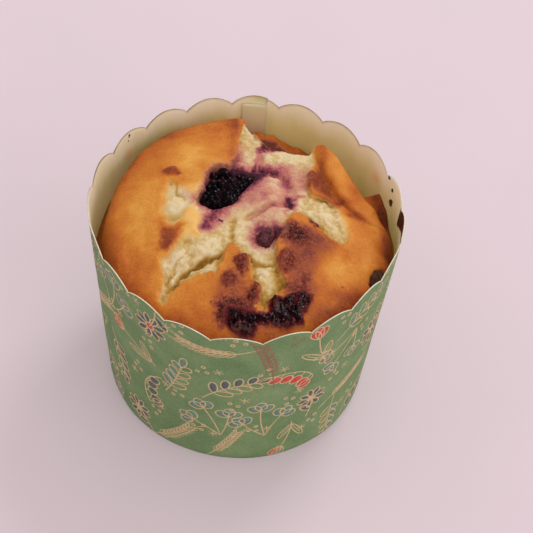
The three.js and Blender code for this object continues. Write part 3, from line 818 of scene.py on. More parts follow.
def dots_and_star(drawing, bend):
    """A small filler: three open dots and a star."""
    for x, y in ((0, 0), (1.3, 0.9), (0.2, 1.9)):
        drawing.shape(leaf(np.array((x - 0.3, y)), 0, 0.6, 0.6, 0))
    for i in range(3):
        tips = turned(np.array([(-0.9, 0.0), (0.9, 0.0)]), bend + i * math.pi / 3)
        drawing.line(tips + (2.6, 2.4), LINE * 0.7)


class Print:
    """Collects thin closed forms that lie on the paper's outer face."""

    def __init__(self):
        self.points = []
        self.faces = []
        self.face_materials = []
        self.count = 0

    def add(self, flat, height, faces, material):
        """A form between two copies of its flat points, `height` above and just in the paper."""
        azimuth, z = flat[:, 0] / PRINT_RADIUS, flat[:, 1]
        column = np.mod(azimuth - SHEET_START, TAU) / COLUMN_ANGLE
        if np.ptp(column) > SHEET_COLUMNS / 2:  # it would lie across the sheet's end
            return
        base = sheet_radius(azimuth, z, column)
        self.points += [round_axis(base + rise, azimuth, z) for rise in (height, -INK_UNDER)]
        self.faces += [[v + self.count for v in face] for face in faces]
        self.face_materials += [material] * len(faces)
        self.count += 2 * len(flat)

    def stroke(self, points, width, material):
        """A ribbon along a line, of four faces for each step, with closed ends."""
        ahead = np.gradient(points, axis=0)
        ahead /= np.linalg.norm(ahead, axis=1)[:, None]
        left = np.stack([-ahead[:, 1], ahead[:, 0]], -1) * width / 2
        n = len(points)
        under = 2 * n
        faces = [(0, under, n + under, n), (2 * n - 1, 2 * n - 1 + under, n - 1 + under, n - 1)]
        for i in range(n - 1):
            a, b, c, d = i, n + i, n + i + 1, i + 1
            faces.append((a, b, c, d))
            faces.append((d + under, c + under, b + under, a + under))
            faces.append((b, b + under, c + under, c))
            faces.append((d, d + under, a + under, a))
        self.add(np.concatenate([points + left, points - left]), INK_LINE, faces, material)

    def fill(self, outline, material):
        """An outline as a fan of triangles round its middle."""
        n = len(outline)
        under = n + 1
        faces = []
        for i in range(n):
            j = (i + 1) % n
            faces.append((n, i, j))
            faces.append((n + under, j + under, i + under))
            faces.append((i, i + under, j + under, j))
        self.add(np.concatenate([outline, [outline.mean(0)]]), INK_FILL, faces, material)


def past_edges(points):
    """How far places on the unrolled paper lie past the part that may be printed."""
    top = rim_height(points[:, 0] / PRINT_RADIUS) - PRINT_MARGIN
    return np.maximum(points[:, 1] - top, PRINT_FOOT - points[:, 1])


def clipped(points):
    """The stretches of a line that lie on the part that may be printed."""
    over = past_edges(points)
    stretch = []
    for i, point in enumerate(points):
        if i and (over[i] > 0) != (over[i - 1] > 0):
            t = over[i - 1] / (over[i - 1] - over[i])
            stretch.append(points[i - 1] + t * (point - points[i - 1]))
            if over[i] > 0:
                yield np.array(stretch)
                stretch = []
        if over[i] <= 0:
            stretch.append(point)
    if len(stretch) > 1:
        yield np.array(stretch)


def make_print():
    """Plant motifs in staggered rows all round the paper; also returns the places of red ones."""
    rng = np.random.default_rng(PRINT_SEED)
    motifs = (laurel, tulip, wheat, daisy, clover, bells)
    colours = {
        laurel: (TEAL, GREY), tulip: (RED,), wheat: (None,), daisy: (RED, TAN),
        clover: (TEAL,), bells: (GREY, RED),
    }
    between = np.array((PRINT_LENGTH / PRINT_COLUMNS / 2, PRINT_ROW_HEIGHT / 2 - 1))
    sheet = Print()
    reds = []
    for row, place in np.ndindex(PRINT_ROWS, PRINT_COLUMNS):
        motif = motifs[(place * 5 + row * 2 + place // 6) % len(motifs)]
        x = (place + 0.5 * (row % 2)) * PRINT_LENGTH / PRINT_COLUMNS + rng.uniform(-1.2, 1.2)
        y = PRINT_FIRST_ROW + row * PRINT_ROW_HEIGHT + rng.uniform(-1.3, 1.3)
        angle = rng.uniform(-1.1, 1.1) + (math.pi if rng.random() < 0.3 else 0)
        bend = rng.uniform(0.2, 0.7) * rng.choice((-1, 1))
        size = rng.uniform(1.2, 1.45)
        faded = rng.random() < 0.08
        colour = colours[motif][rng.integers(len(colours[motif]))]
        if colour == RED:
            reds.append((x, y))
        plant, filler = Drawing(), Drawing()
        motif(plant, bend, colour)
        dots_and_star(filler, bend)
        middle = np.concatenate([points for points, _, _ in plant.strokes]).mean(0)
        for drawing, shift, origin in ((plant, (0, 0), middle), (filler, between, (1, 1))):
            for outline, fill in drawing.fills:
                flat = turned((outline - origin) * size, angle) + (x, y) + shift
                if (past_edges(flat) < 0).all():
                    sheet.fill(flat, FADED if faded else fill)
            for line, width, closed in drawing.strokes:
                flat = turned((line - origin) * size, angle) + (x, y) + shift
                if closed:
                    flat = np.concatenate([flat, flat[:1]])
                for stretch in clipped(flat):
                    sheet.stroke(stretch, width, FADED if faded else TAN)
    inks = [
        noisy_material("ink_" + name, 0.3, (1.1, 4, 0.7), ((0.35, *light), (0.65, *dark)), 0.7,
                       ((0.5, 3, 0.7), 0.02))
        for name, light, dark in INKS
    ]
    points = np.concatenate(sheet.points)
    return make_mesh("paper_print", points, sheet.faces, inks, sheet.face_materials), reds


# ---- the crown's height -------------------------------------------------------------------


def crown_at(azimuth):
    """Shoulder radius and height, side radius, foot height and paper height by direction."""
    first = CROWN[0, 0]
    degrees = first + (np.degrees(azimuth) - first) % 360
    row = np.clip(np.searchsorted(CROWN[:, 0], degrees, side="right") - 1, 0, len(CROWN) - 2)
    t = smoothstep(CROWN[row, 0], CROWN[row + 1, 0], degrees)
    return [CROWN[row, k] * (1 - t) + CROWN[row + 1, k] * t for k in range(1, 6)]


def dome_height(x, y):
    """The dome, its rolled shoulder and the ledge from there to the paper."""
    radius, azimuth = np.hypot(x, y), np.arctan2(y, x)
    shoulder, shoulder_z, side, foot_z, wall_z = crown_at(azimuth)
    drop = TOP_HEIGHT - shoulder_z
    dome = TOP_HEIGHT - drop * np.minimum(radius / shoulder, 1) ** DOME_POWER
    t = np.clip((radius - shoulder) / (side - shoulder), 0, 1)
    lean = DOME_POWER * drop / shoulder * (radius - shoulder) * (1 - t) * 0.8
    roll = foot_z + (shoulder_z - foot_z) * np.sqrt(1 - t**2.2) - lean
    edge = paper_radius(azimuth, wall_z) - PAPER
    out = np.clip((radius - side) / np.maximum(edge - side, 0.1), 0, 1)
    ledge = foot_z + (wall_z - foot_z) * out
    return np.where(radius > side, ledge, np.where(radius > shoulder, roll, dome))


def large_forms(x, y):
    """The dome with its lips and the pit behind them."""
    z = dome_height(x, y) + ridges(x, y, LIPS)
    floor = np.minimum(z, PIT_FLOOR - PIT_FALL * x)
    return z + (floor - z) * smoothstep(-0.3, 2.4, depth_inside(x, y, PIT))


def crack_depth(x, y):
    """How much the cracks take off, along lines that wander."""
    return ridges(*wandering(x, y, 0.8, 2.4, 2, 21), CRACKS)


def crown_height(x, y, crumb, soft, jam):
    """Height of the crown's surface, from the shares of crumb, soft edge and jam on it.

    Folds roll over what is beside them, berries lie in beds, and noise gives the crumb its
    lumps and puffs, fewer where soft dough closes round the berry, and the crust its skin.
    """
    z = large_forms(x, y) - CRUMB_STEP * (1 - 0.5 * soft) * crumb + bumps(x, y, LUMPS)
    for width, reach, line in FOLDS:
        distance, height, side = nearest_on_line(x, y, line)
        beside = side * distance
        roll = np.sqrt(1 - (1 - np.clip(beside / width, 0, 1)) ** 2)
        z = z + height * roll * (1 - smoothstep(0.3 * reach, reach, beside))
    for depth, berry in BERRY_BEDS:
        z = z - depth * smoothstep(-0.5, 0.7, depth_inside(x, y, BERRY_OUTLINES[berry]))
    for height, _, outline in STAINED_LUMPS:
        z = z + height * smoothstep(-0.3, 0.7, depth_inside(x, y, outline))
    z = z + jam * (0.35 + 0.35 * fractal_noise(x, y, 1.8, 2, 91)) - crack_depth(x, y)
    dough = smoothstep(-1.2, 1.2, depth_inside(x, y, DOUGH, CRUMB_LEFT))
    puffs = sum(height * np.abs(fractal_noise(x, y, *noise)) for height, *noise in PUFFS)
    lumps = (0.4 * fractal_noise(x, y, 4.2, 2, 31) + puffs - 0.2) * (1 - 0.8 * dough)
    skin = sum(height * fractal_noise(x, y, *noise) for height, *noise in CRUST_SKIN)
    return z + crumb * lumps + (1 - crumb) * skin


# ---- materials ----------------------------------------------------------------------------


def srgb(red, green, blue):
    """Linear colour from an 8-bit sRGB one."""
    shares = [v / 255 for v in (red, green, blue)]
    return (*(v / 12.92 if v < 0.04045 else ((v + 0.055) / 1.055) ** 2.4 for v in shares), 1)


class Looks:
    """A Principled material, built by short calls that each return a node's output."""

    def __init__(self, name, **sockets):
        self.material = bpy.data.materials.new(name)
        self.material.use_nodes = True
        self.tree = self.material.node_tree
        self.shader = self.tree.nodes["Principled BSDF"]
        self.place = self.tree.nodes.new("ShaderNodeTexCoord").outputs["Object"]
        for socket, value in sockets.items():
            self.set(socket.replace("_", " "), value)

    def set(self, socket, value):
        self.connect(self.shader.inputs[socket], value)

    def connect(self, socket, value):
        if isinstance(value, bpy.types.NodeSocket):
            self.tree.links.new(value, socket)
        elif value is not None:
            socket.default_value = value

    def node(self, kind, output, inputs, **properties):
        node = self.tree.nodes.new("ShaderNode" + kind)
        for key, value in properties.items():
            setattr(node, key, value)
        for socket, value in inputs.items():
            self.connect(node.inputs[socket], value)
        return node.outputs[output]

    def attribute(self, name):
        return self.node("Attribute", "Fac", {}, attribute_name=name)

    def noise(self, size, detail=3.0, roughness=0.55, stretch=(1, 1, 1)):
        """Noise from 0 to 1 with features about `size` millimetres across."""
        place = self.node("Mapping", "Vector", {"Vector": self.place, "Scale": stretch})
        scale = 1 / (size * MM)
        return self.node("TexNoise", 0, {
            "Vector": place, "Scale": scale, "Detail": detail, "Roughness": roughness})

    def math(self, operation, a, b):
        return self.node("Math", 0, {0: a, 1: b}, operation=operation)

    def times(self, a, b):
        return self.math("MULTIPLY", a, b)

    def add(self, first, *others):
        for other in others:
            first = self.math("ADD", first, other)
        return first

    def drift(self, amount, *noise):
        """Noise that varies by `amount` around 0."""
        return self.times(self.math("SUBTRACT", self.noise(*noise), 0.5), amount)

    def uneven(self, value, *drifts):
        """A value that drifts make stronger in some places and weaker in others."""
        return self.add(value, self.times(self.add(*drifts), value))

    def spread(self, value, low, high, to_low=0.0, to_high=1.0):
        """A value mapped smoothly from one range to another."""
        inputs = dict(enumerate((value, low, high, to_low, to_high)))
        return self.node("MapRange", 0, inputs, interpolation_type="SMOOTHSTEP")

    def ramp(self, value, *stops):
        """A colour from stops, each a place and an 8-bit colour."""
        output = self.node("ValToRGB", 0, {0: value})
        elements = output.node.color_ramp.elements
        while len(elements) < len(stops):
            elements.new(1.0)
        for element, (place, *colour) in zip(elements, stops):
            element.position = place
            element.color = srgb(*colour)
        return output

    def mix(self, share, a, b):
        return self.node("Mix", 2, {0: share, 6: a, 7: b}, data_type="RGBA")

    def relief(self, *layers):
        """Bumps laid over each other, each a height of 0 to 1 and the millimetres 1 stands for."""
        normal = None
        for height, depth in layers:
            inputs = {"Distance": depth * MM, "Height": height, "Normal": normal}
            normal = self.node("Bump", "Normal", inputs)
        self.set("Normal", normal)


def cake_material():
    looks = Looks(
        "cake_crust_and_crumb", Specular_IOR_Level=0.35, Subsurface_Weight=0.15,
        Subsurface_Radius=(1.0, 0.5, 0.18), Subsurface_Scale=1.6 * MM)
    crumb, baked, jam = (looks.attribute(name) for name in ("crumb", "dark_crust", "jam"))
    # crust colour from how toasted it is, with painted highlight and painted shade mixed into that
    # mask
    tone = looks.add(
        looks.attribute("toast_and_painted_light"), looks.drift(0.32, 2.6, 4), looks.drift(0.42, 0.5, 3, 0.7))
    crust = looks.ramp(
        tone, (0.0, 235, 184, 100), (0.2, 223, 156, 60), (0.4, 210, 127, 36),
        (0.6, 190, 99, 26), (0.8, 147, 65, 24), (1.0, 95, 44, 25))
    juice = looks.uneven(baked, looks.drift(2.6, 0.75, 3, 0.75), looks.drift(0.9, 1.9, 3, 0.6))
    crust = looks.mix(looks.spread(juice, 0.06, 0.4), crust, looks.ramp(
        juice, (0.06, 188, 100, 38), (0.3, 168, 82, 40), (0.5, 142, 62, 38),
        (0.75, 108, 42, 31), (1.0, 68, 24, 24)))
    # painted glints: pale pink flecks over the juice-dark crust stand for small highlights
    painted_glints = looks.times(looks.spread(looks.noise(0.55, 3, 0.7), 0.54, 0.66),
                       looks.spread(baked, 0.25, 0.8, 0.0, 0.5))
    crust = looks.mix(painted_glints, crust, srgb(186, 120, 100))
    # the open crumb's colour, darker and more ochre where the painted shade of hollows and cracks
    # lies
    shaded = looks.add(
        looks.attribute("hollow_shade"), looks.drift(0.5, 3.2, 5, 0.6), looks.drift(0.2, 0.8, 3, 0.6))
    open_crumb = looks.ramp(
        shaded, (0.0, 233, 211, 165), (0.25, 216, 186, 126), (0.5, 198, 157, 82),
        (0.75, 182, 136, 52), (1.0, 158, 112, 36))
    soaked = looks.uneven(
        looks.attribute("stain"), looks.drift(1.7, 1.9, 5, 0.7), looks.drift(1.2, 0.6, 3, 0.7))
    crust = looks.mix(looks.spread(soaked, 0.1, 0.6, 0.0, 0.8), crust, looks.ramp(
        soaked, (0.1, 210, 144, 92), (0.35, 194, 122, 92), (0.6, 142, 74, 72),
        (0.9, 84, 36, 46)))
    open_crumb = looks.mix(looks.spread(soaked, 0.03, 0.3), open_crumb, looks.ramp(
        soaked, (0.0, 222, 178, 140), (0.3, 208, 142, 118), (0.5, 184, 102, 98),
        (0.7, 136, 60, 76), (0.95, 70, 26, 42)))
    covered = looks.spread(jam, -0.6, 0.4)
    thickness = looks.add(looks.spread(jam, -0.4, 1.6), looks.drift(0.9, 1.4, 4))
    colour = looks.mix(covered, looks.mix(crumb, crust, open_crumb), looks.ramp(
        thickness, (0.0, 138, 56, 44), (0.3, 98, 28, 32), (0.7, 54, 12, 18), (1.0, 24, 6, 10)))
    looks.set("Base Color", colour)
    dull = looks.add(looks.times(crumb, 0.25), 0.6)
    wet = looks.add(looks.times(covered, 0.5), looks.times(looks.spread(baked, 0.2, 0.7), 0.38))
    looks.set("Roughness", looks.math("MAXIMUM", looks.math("SUBTRACT", dull, wet), 0.14))
    looks.relief(
        (looks.times(looks.noise(1.6, 5, 0.65), crumb), 0.5),
        (looks.times(looks.noise(0.5, 3, 0.6), crumb), 0.2),
        (looks.times(looks.noise(0.7, 3, 0.7), baked), 0.5),
        (looks.noise(0.35, 3, 0.6), 0.1),
        (looks.noise(1.7, 3, 0.6), 0.12),
    )
    return looks.material


def green_paper():
    looks = Looks("paper_green", Roughness=0.72, Specular_IOR_Level=0.3)
    cloudy = looks.noise(9.0, 4, 0.6)
    fibres = looks.noise(0.4, 4, 0.75, (1, 1, 0.5))
    looks.set("Base Color", looks.ramp(
        looks.add(looks.times(cloudy, 0.5), looks.times(fibres, 0.5)),
        (0.3, 92, 120, 76), (0.5, 117, 144, 95), (0.7, 142, 162, 114)))
    looks.relief((looks.noise(7.0, 3), 0.25), (fibres, 0.03))
    return looks.material


def inner_paper():
    looks = Looks(
        "paper_inside", Roughness=0.55, Specular_IOR_Level=0.3, Subsurface_Weight=0.7,
        Subsurface_Radius=(1.0, 0.9, 0.7), Subsurface_Scale=1.0 * MM)
    below_edge = looks.attribute("below_edge")
    grease = looks.noise(7.0, 4, 0.6, (1, 1, 0.5))
    low = looks.ramp(grease, (0.3, 217, 208, 172), (0.5, 211, 204, 162), (0.7, 201, 197, 150))
    dry = looks.ramp(grease, (0.35, 232, 219, 198), (0.65, 223, 212, 184))
    # grease and painted shade: the paper is darker and greener further below the rim, where the
    # muffin shades it, and paler near the rim
    colour = looks.mix(looks.spread(below_edge, 0.5, 7.0, 1.0, 0.0), low, dry)
    # painted light: the doubled paper at the seam is made paler, in place of the light that shines
    # through single paper
    for name, shade in (
        ("doubled", srgb(248, 230, 178)), ("show_through", srgb(220, 156, 126)),
        ("green_patch", srgb(196, 196, 142)),
    ):
        colour = looks.mix(looks.attribute(name), colour, shade)
    tone = looks.times(
        looks.attribute("scorched"), looks.spread(below_edge, 0.0, 0.9, 0.5, 0.0))
    looks.set("Base Color", looks.mix(tone, colour, srgb(150, 122, 78)))
    looks.relief((looks.noise(5.0, 3, 0.5, (1, 1, 0.3)), 0.25), (looks.noise(0.5, 3, 0.6), 0.02))
    return looks.material


def cut_paper():
    looks = Looks("paper_cut_edge", Roughness=0.85, Specular_IOR_Level=0.2)
    cream = looks.ramp(looks.noise(0.8, 3), (0.3, 238, 230, 208), (0.7, 214, 202, 172))
    brown = looks.ramp(looks.noise(3.0, 3), (0.35, 176, 156, 118), (0.65, 140, 114, 76))
    looks.set("Base Color", looks.mix(looks.attribute("scorched"), cream, brown))
    looks.relief((looks.noise(0.2, 2), 0.03))
    return looks.material


def noisy_material(name, specular, noise, stops, roughness, *layers):
    """Colours by noise; roughness is one value or a noise with the lowest and highest value."""
    looks = Looks(name, Specular_IOR_Level=specular)
    looks.set("Base Color", looks.ramp(looks.noise(*noise), *stops))
    if isinstance(roughness, tuple):
        pattern, *ends = roughness
        roughness = looks.spread(looks.noise(*pattern), 0.3, 0.7, *ends)
    looks.set("Roughness", roughness)
    looks.relief(*((looks.noise(*pattern), depth) for pattern, depth in layers))
    return looks.material


def dried_jam(name, light, dark):
    stops = (0.35, *light), (0.62, *dark)
    return noisy_material(
        name, 0.3, (0.7, 3, 0.7), stops, ((0.7, 3), 0.25, 0.5), ((0.5, 3, 0.6), 0.2))


# ---- the muffin ---------------------------------------------------------------------------


def cake_radius(azimuth, z):
    return paper_radius(azimuth, z) - PAPER - CAKE_GAP


def make_muffin():
    """The crown on a folded grid, the side as rings below its edge, and a flat bottom."""
    share, azimuth = (v.ravel() for v in disc_grid(CAKE_GRID))
    wall_z = crown_at(azimuth)[4]
    radius = share * cake_radius(azimuth, wall_z)
    x, y = radius * np.cos(azimuth), radius * np.sin(azimuth)
    edge = depth_inside(x, y, CRUMB_BURST, CRUMB_LEFT) + 0.9 * fractal_noise(x, y, 2.6, 3, 11)
    soft = np.clip(bumps(x, y, SOFT_EDGES), 0, 1)
    crumb = smoothstep(-0.1 - 1.6 * soft, 0.6 + 1.6 * soft, edge)
    jam = depth_inside(x, y, JAM) + 0.5 * fractal_noise(x, y, 1.6, 2, 81)

    z = crown_height(x, y, crumb, soft, smoothstep(-0.5, 0.35, jam))
    z = np.where(share > 0.999, wall_z, np.maximum(z, wall_z - 1.5))
    grid = np.arange(len(x)).reshape(CAKE_GRID + 1, -1)
    faces = quads_of(grid).tolist()
    upper = border = border_of(grid)
    points = [np.stack([x, y, z], -1)]
    for i in range(1, CAKE_SIDE_ROWS + 1):
        height = z[border] + (BASE_RECESS + CAD_PAPER - z[border]) * i / CAKE_SIDE_ROWS
        points.append(round_axis(cake_radius(azimuth[border], height), azimuth[border], height))
        lower = len(x) + (i - 1) * len(border) + np.arange(len(border))
        faces += np.stack([upper, lower, np.roll(lower, -1), np.roll(upper, -1)], -1).tolist()
        upper = lower
    faces.append(upper[::-1].tolist())
    points = np.concatenate(points)
    piece = make_mesh("muffin_cake", points, faces, [cake_material()])

    torn = 0.9 * fractal_noise(x, y, 1.1, 3, 75)
    toast_and_painted_light = TOAST_BASE + bumps(x, y, TOAST_AND_PAINTED_LIGHT) + 0.12 * fractal_noise(x, y, 6.0, 3, 61)
    toast_and_painted_light += 0.16 * smoothstep(28, 32.5, radius)  # browner beside the paper
    for strength, softness, outline in TOASTED_AREAS:
        toast_and_painted_light += strength * smoothstep(-softness, softness, depth_inside(x, y, outline) + torn)
    toast_and_painted_light -= (0.04 + 0.26 * soft) * smoothstep(-2.4, 0.2, edge)  # paler beside the crumb
    drifted = wandering(x, y, 0.7, 2.2, 3, 71)
    stain = bumps(*drifted, STAINS) + ridges(*drifted, STREAKS)
    for strength, reach, berry in HALOES:
        away = np.maximum(-depth_inside(*drifted, BERRY_OUTLINES[berry]), 0)
        stain += strength * np.exp(-((away / reach) ** 2))
    dark = bumps(*drifted, DARK_CRUST)
    for _, strength, outline in STAINED_LUMPS:
        dark += strength * smoothstep(-0.9, 0.7, depth_inside(x, y, outline) + torn)
    low = blurred(z.reshape(grid.shape), 6).ravel() - z  # how far below its surroundings
    # painted shade: the crumb gets darker and more ochre in hollows, cracks and the listed places
    hollow_shade = 0.16 + 0.8 * low + bumps(*drifted, SHADED_CRUMB) + 0.3 * crack_depth(x, y)
    spread = 0.16 + soft
    for name, values, below in (
        ("crumb", smoothstep(0.3 - spread, 0.4 + spread, edge), 0), ("toast_and_painted_light", toast_and_painted_light, 0.5),
        ("stain", stain, 0), ("dark_crust", dark, 0), ("jam", jam, 0),
        ("hollow_shade", np.clip(hollow_shade, 0.02, 1), 0),
    ):
        side = np.full(len(points) - len(x), below)
        set_attribute(piece, name, np.concatenate([values, side]))
    return piece


# ---- berries and jam ----------------------------------------------------------------------


def fused_balls(centres, radii, voxel, smoothing):
    """Points and faces of one closed surface round overlapping balls."""
    form = bmesh.new()
    bmesh.ops.create_icosphere(form, subdivisions=2, radius=1)
    ball = np.array([v.co for v in form.verts])
    triangles = np.array([[v.index for v in f.verts] for f in form.faces])
    form.free()
    points = np.asarray(centres)[:, None] + ball * np.asarray(radii)[:, None]
    faces = triangles + np.arange(len(centres))[:, None, None] * len(ball)
    mesh = bpy.data.meshes.new("fusing")
    mesh.from_pydata(points.reshape(-1, 3).tolist(), [], faces.reshape(-1, 3).tolist())
    body = bpy.data.objects.new("fusing", mesh)
    bpy.context.scene.collection.objects.link(body)
    body.modifiers.new("fuse", "REMESH").voxel_size = voxel
    body.modifiers.new("smooth", "SMOOTH").iterations = smoothing
    result = body.evaluated_get(bpy.context.evaluated_depsgraph_get()).to_mesh()
    points = np.array([v.co for v in result.vertices])
    faces = [tuple(p.vertices) for p in result.polygons]
    body.to_mesh_clear()
    bpy.data.objects.remove(body)
    bpy.data.meshes.remove(mesh)
    return points, faces


def make_cluster(node, material):
    """A fused cluster of drupelets over a core that reaches down into the dough."""
    rng = np.random.default_rng(1)
    outline = BERRY_OUTLINES[node]
    low, high = np.min(outline, 0), np.max(outline, 0)
    step = 1.45 * DRUPELET
    x, y = np.meshgrid(np.arange(low[0], high[0], step), np.arange(low[1], high[1], step * 0.87))
    x[1::2] += step / 2
    x, y = (v.ravel() + rng.normal(0, 0.14 * DRUPELET, v.size) for v in (x, y))
    depth = depth_inside(x, y, outline)
    kept = depth > 0.3 * DRUPELET
    x, y, depth = x[kept], y[kept], depth[kept]
    dome = 1 - (1 - np.clip(depth / 2.6, 0, 1)) ** 2
    z = large_forms(x, y) - DRUPELET - CLUSTER_SINK + (CLUSTER_SINK + CLUSTER_RISE) * dome
    z += rng.normal(0, 0.16 * DRUPELET, len(z))
    radii = DRUPELET * rng.uniform(0.6, 1.3, (len(x), 1)) * np.array((1, 1, 0.95))
    centres = np.stack([x, y, z], -1)
    core = centres - (0, 0, 1.1 * DRUPELET)
    points, faces = fused_balls(
        np.concatenate([centres, core]), np.concatenate([radii, radii * 1.25]),
        voxel=0.13, smoothing=3)
    ride(make_mesh(node + "_fruit", points, faces, [material]), "berry", node)


def make_blob(name, outline, height, knobs, size, material, seed, *nodes):
    """A smooth body of jam or soft fruit that domes over an outline, sunk into the crust."""
    low, high = np.min(outline, 0) - 5 * BLOB_STEP, np.max(outline, 0) + 5 * BLOB_STEP
    x, y = np.meshgrid(*(np.arange(a, b, BLOB_STEP) for a, b in zip(low, high)))
    depth = blurred(depth_inside(x, y, outline), 2)
    depth += 0.1 + 0.35 * fractal_noise(x, y, 1.5, 3, seed + 20)
    dome = np.sqrt(1 - (1 - np.clip(depth / 1.7, 0, 1)) ** 2)
    base = large_forms(x, y) - BLOB_SINK
    top = base + dome * (height + BLOB_SINK + knobs * fractal_noise(x, y, size, 3, seed))
    under = base - BLOB_SINK - 0.8 * dome
    quads = quads_of(np.arange(x.size).reshape(x.shape))
    quads = quads[depth.ravel()[quads].min(1) > -0.25]
    edges = {(int(q[i]), int(q[(i + 1) % 4])) for q in quads for i in range(4)}
    sides = [(b, a, a + x.size, b + x.size) for a, b in edges if (b, a) not in edges]
    faces = np.concatenate([quads, quads[:, ::-1] + x.size, np.array(sides)])
    points = np.concatenate([np.stack([x, y, z], -1).reshape(-1, 3) for z in (top, under)])
    used, faces = np.unique(faces, return_inverse=True)
    piece = make_mesh(name, points[used], faces.reshape(-1, 4).tolist(), [material])
    ride(piece, "berry", *nodes)


# ---- marks on the paper -------------------------------------------------------------------


def make_specks(material):
    """Dried drops of juice on the paper's inner face."""
    rng = np.random.default_rng(13)
    centres, radii = [], []
    for degrees, z, size in SPECKS:
        azimuth = math.radians(degrees)
        r = paper_radius(azimuth, z) - PAPER
        for _ in range(4):
            turn, rise = rng.normal(0, 0.35 * size / r), rng.normal(0, 0.5 * size)
            centres.append(round_axis(r, azimuth + turn, z + rise))
            radii.append(np.full(3, size * rng.uniform(0.5, 0.8)))
    points, faces = fused_balls(centres, radii, voxel=0.08, smoothing=4)
    radius = np.hypot(points[:, 0], points[:, 1])
    face = paper_radius(np.arctan2(points[:, 1], points[:, 0]), points[:, 2]) - PAPER
    points[:, :2] *= (np.clip(radius, face - 0.2, face + MARK_OVERLAP) / radius)[:, None]
    ride(make_mesh("juice_specks", points, faces, [material]), "cake")


def make_smear(material):
    """The dried run of jam below the rim at the right."""
    u, v = np.meshgrid(np.linspace(0, 1, 71), np.linspace(0, 1, 25))
    along, foot = zip(*SMEAR)
    degrees = along[0] + u * (along[-1] - along[0])
    azimuth = np.radians(degrees)
    low = np.interp(degrees, along, foot) + 0.25 * np.sin(degrees * 2.3)
    z = low + (rim_height(azimuth) - 0.15 - low) * v
    swell = np.clip(4 * u * (1 - u), 0, 1) ** 0.5 * np.clip(6 * v * (1.15 - v), 0, 1) ** 0.5
    rough = 0.5 + 0.5 * fractal_noise(degrees, z, 1.6, 2, 121)
    face = paper_radius(azimuth, z) - PAPER
    radii = (face + MARK_OVERLAP, face - 0.02 - 0.3 * swell * rough)
    sides = (round_axis(radius, azimuth, z) for radius in radii)
    ride(make_sheet("jam_smear", *sides, [material]), "cake")


# ---- the floor, the light and the camera --------------------------------------------------


def make_floor():
    # the backdrop glows faintly: painted light that lifts the shadow round the case and lights its
    # foot
    looks = Looks(
        "backdrop_paper", Roughness=0.9, Specular_IOR_Level=0.15,
        Emission_Color=srgb(224, 206, 210), Emission_Strength=0.2)
    looks.set("Base Color", looks.ramp(
        looks.noise(40, 3), (0.3, 205, 188, 192), (0.7, 202, 186, 190)))
    r = FLOOR_REACH
    corners = [(-r, -r, 0), (r, -r, 0), (r, r, 0), (-r, r, 0)]
    make_mesh("backdrop", corners, [(0, 1, 2, 3)], [looks.material])


def direction(azimuth, elevation):
    """A unit vector from two angles in degrees."""
    around, up = math.radians(azimuth), math.radians(elevation)
    return Vector((math.cos(up) * math.cos(around), math.cos(up) * math.sin(around), math.sin(up)))


def make_sky(tree):
    """A plain soft room, a little brighter above and behind the muffin than elsewhere."""
    background = tree.nodes["Background"]
    background.inputs["Color"].default_value = srgb(236, 232, 236)
    place = tree.nodes.new("ShaderNodeTexCoord")
    facing = tree.nodes.new("ShaderNodeVectorMath")
    facing.operation = "DOT_PRODUCT"
    facing.inputs[1].default_value = direction(*SKY_DIRECTION)
    strength = tree.nodes.new("ShaderNodeMapRange")
    for socket, value in zip(strength.inputs[1:], (-0.2, 1.0, *SKY_STRENGTH)):
        socket.default_value = value
    tree.links.new(place.outputs["Generated"], facing.inputs[0])
    tree.links.new(facing.outputs["Value"], strength.inputs[0])
    tree.links.new(strength.outputs[0], background.inputs["Strength"])


def make_light(name, azimuth, elevation, distance, size, power, colour):
    """A soft square light that looks at the muffin, with its distance and size in metres."""
    lamp = bpy.data.lights.new(name, "AREA")
    lamp.shape = "SQUARE"
    lamp.size = size
    lamp.energy = power
    lamp.color = colour
    light = bpy.data.objects.new(name, lamp)
    way = direction(azimuth, elevation)
    light.location = way * distance
    light.rotation_euler = way.to_track_quat("Z", "Y").to_euler()
    bpy.context.scene.collection.objects.link(light)


def make_camera():
    """The photograph's viewpoint: it looks down at the front, a little past the middle."""
    camera = bpy.data.cameras.new("camera")
    camera.sensor_width = 36
    camera.lens = CAMERA_LENS
    camera.clip_start = 0.02
    view = bpy.data.objects.new("camera", camera)
    up = math.radians(CAMERA_ELEVATION)
    place = Vector((0, -math.cos(up), math.sin(up))) * CAMERA_DISTANCE
    aim = Matrix.Rotation(math.pi / 2 - up, 4, "X")
    pan = Matrix.Rotation(math.radians(CAMERA_PAN), 4, "Y")
    tilt = Matrix.Rotation(math.radians(CAMERA_TILT), 4, "X")
    roll = Matrix.Rotation(math.radians(CAMERA_ROLL), 4, "Z")
    view.matrix_world = Matrix.Translation(place) @ aim @ pan @ tilt @ roll
    bpy.context.scene.collection.objects.link(view)
    bpy.context.scene.camera = view


# ---- main ---------------------------------------------------------------------------------

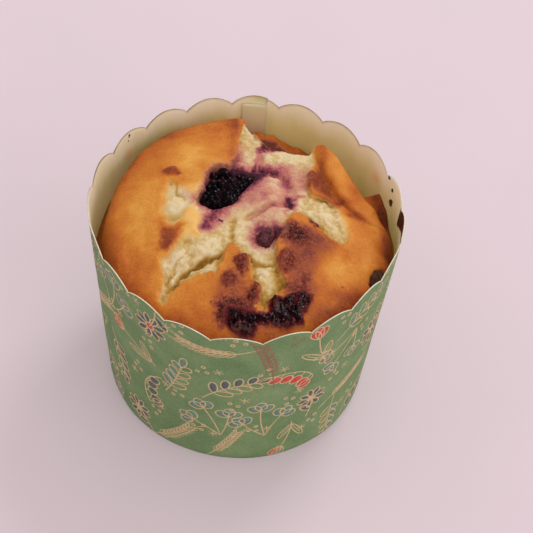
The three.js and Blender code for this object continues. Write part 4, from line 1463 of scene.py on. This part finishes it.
scene = bpy.context.scene
scene.view_settings.view_transform = "Standard"
world = bpy.data.worlds.new("soft_room")
scene.world = world
world.use_nodes = True
make_sky(world.node_tree)
world.cycles_visibility.glossy = False  # only the window and the room shine back
make_light(
    "room", azimuth=-35, elevation=24, distance=1.2, size=1.0, power=2.6,
    colour=(1.0, 0.97, 0.94))
make_light(
    "window", azimuth=56, elevation=54, distance=1.05, size=0.3, power=2.6,
    colour=(0.97, 0.98, 1.0))
make_camera()
make_floor()

printed, red_places = make_print()
printed.visible_shadow = printed.visible_diffuse = False  # light passes through the thin ink
ride(printed, "case_paper")
papers = [green_paper(), inner_paper(), cut_paper()]
ride(make_wall(papers, red_places), "case_paper", "case_wall")
ride(make_bottom(papers[:2]), "case_paper", "case_base")
ride(make_muffin(), "cake", "muffin")

dry = noisy_material(
    "berry_baked_dry", 0.24, (2.2, 4, 0.6),
    ((0.35, 7, 5, 7), (0.55, 16, 9, 13), (0.75, 50, 20, 30)),
    ((0.8, 3), 0.12, 0.3), ((0.6, 2, 0.5), 0.1))
wet = noisy_material(
    "berry_in_jam", 0.6, (1.8, 3),
    ((0.3, 98, 28, 34), (0.46, 54, 13, 20), (0.58, 13, 4, 8)),
    ((0.9, 3), 0.05, 0.16), ((1.3, 2, 0.5), 0.3), ((0.5, 2, 0.5), 0.03))
purple = dried_jam("berry_purple", (126, 62, 66), (56, 22, 30))
dried = dried_jam("jam_dried", (84, 44, 36), (58, 28, 28))
make_cluster("berry_upper", dry)
for node, height, knobs, size, material, seed in (
    ("berry_middle", 0.35, 0.9, 1.1, purple, 2), ("berry_front_left", 1.0, 1.2, 2.0, wet, 3),
    ("berry_front_right", 1.3, 1.6, 2.0, wet, 4), ("berry_rim", 0.9, 0.4, 2.0, dried, 5),
):
    make_blob(node + "_fruit", BERRY_OUTLINES[node], height, knobs, size, material, seed, node)
make_blob("jam_rope", JAM_ROPE, 0.55, 1.5, 1.6, wet, 7)
make_specks(dried)
make_smear(dried)
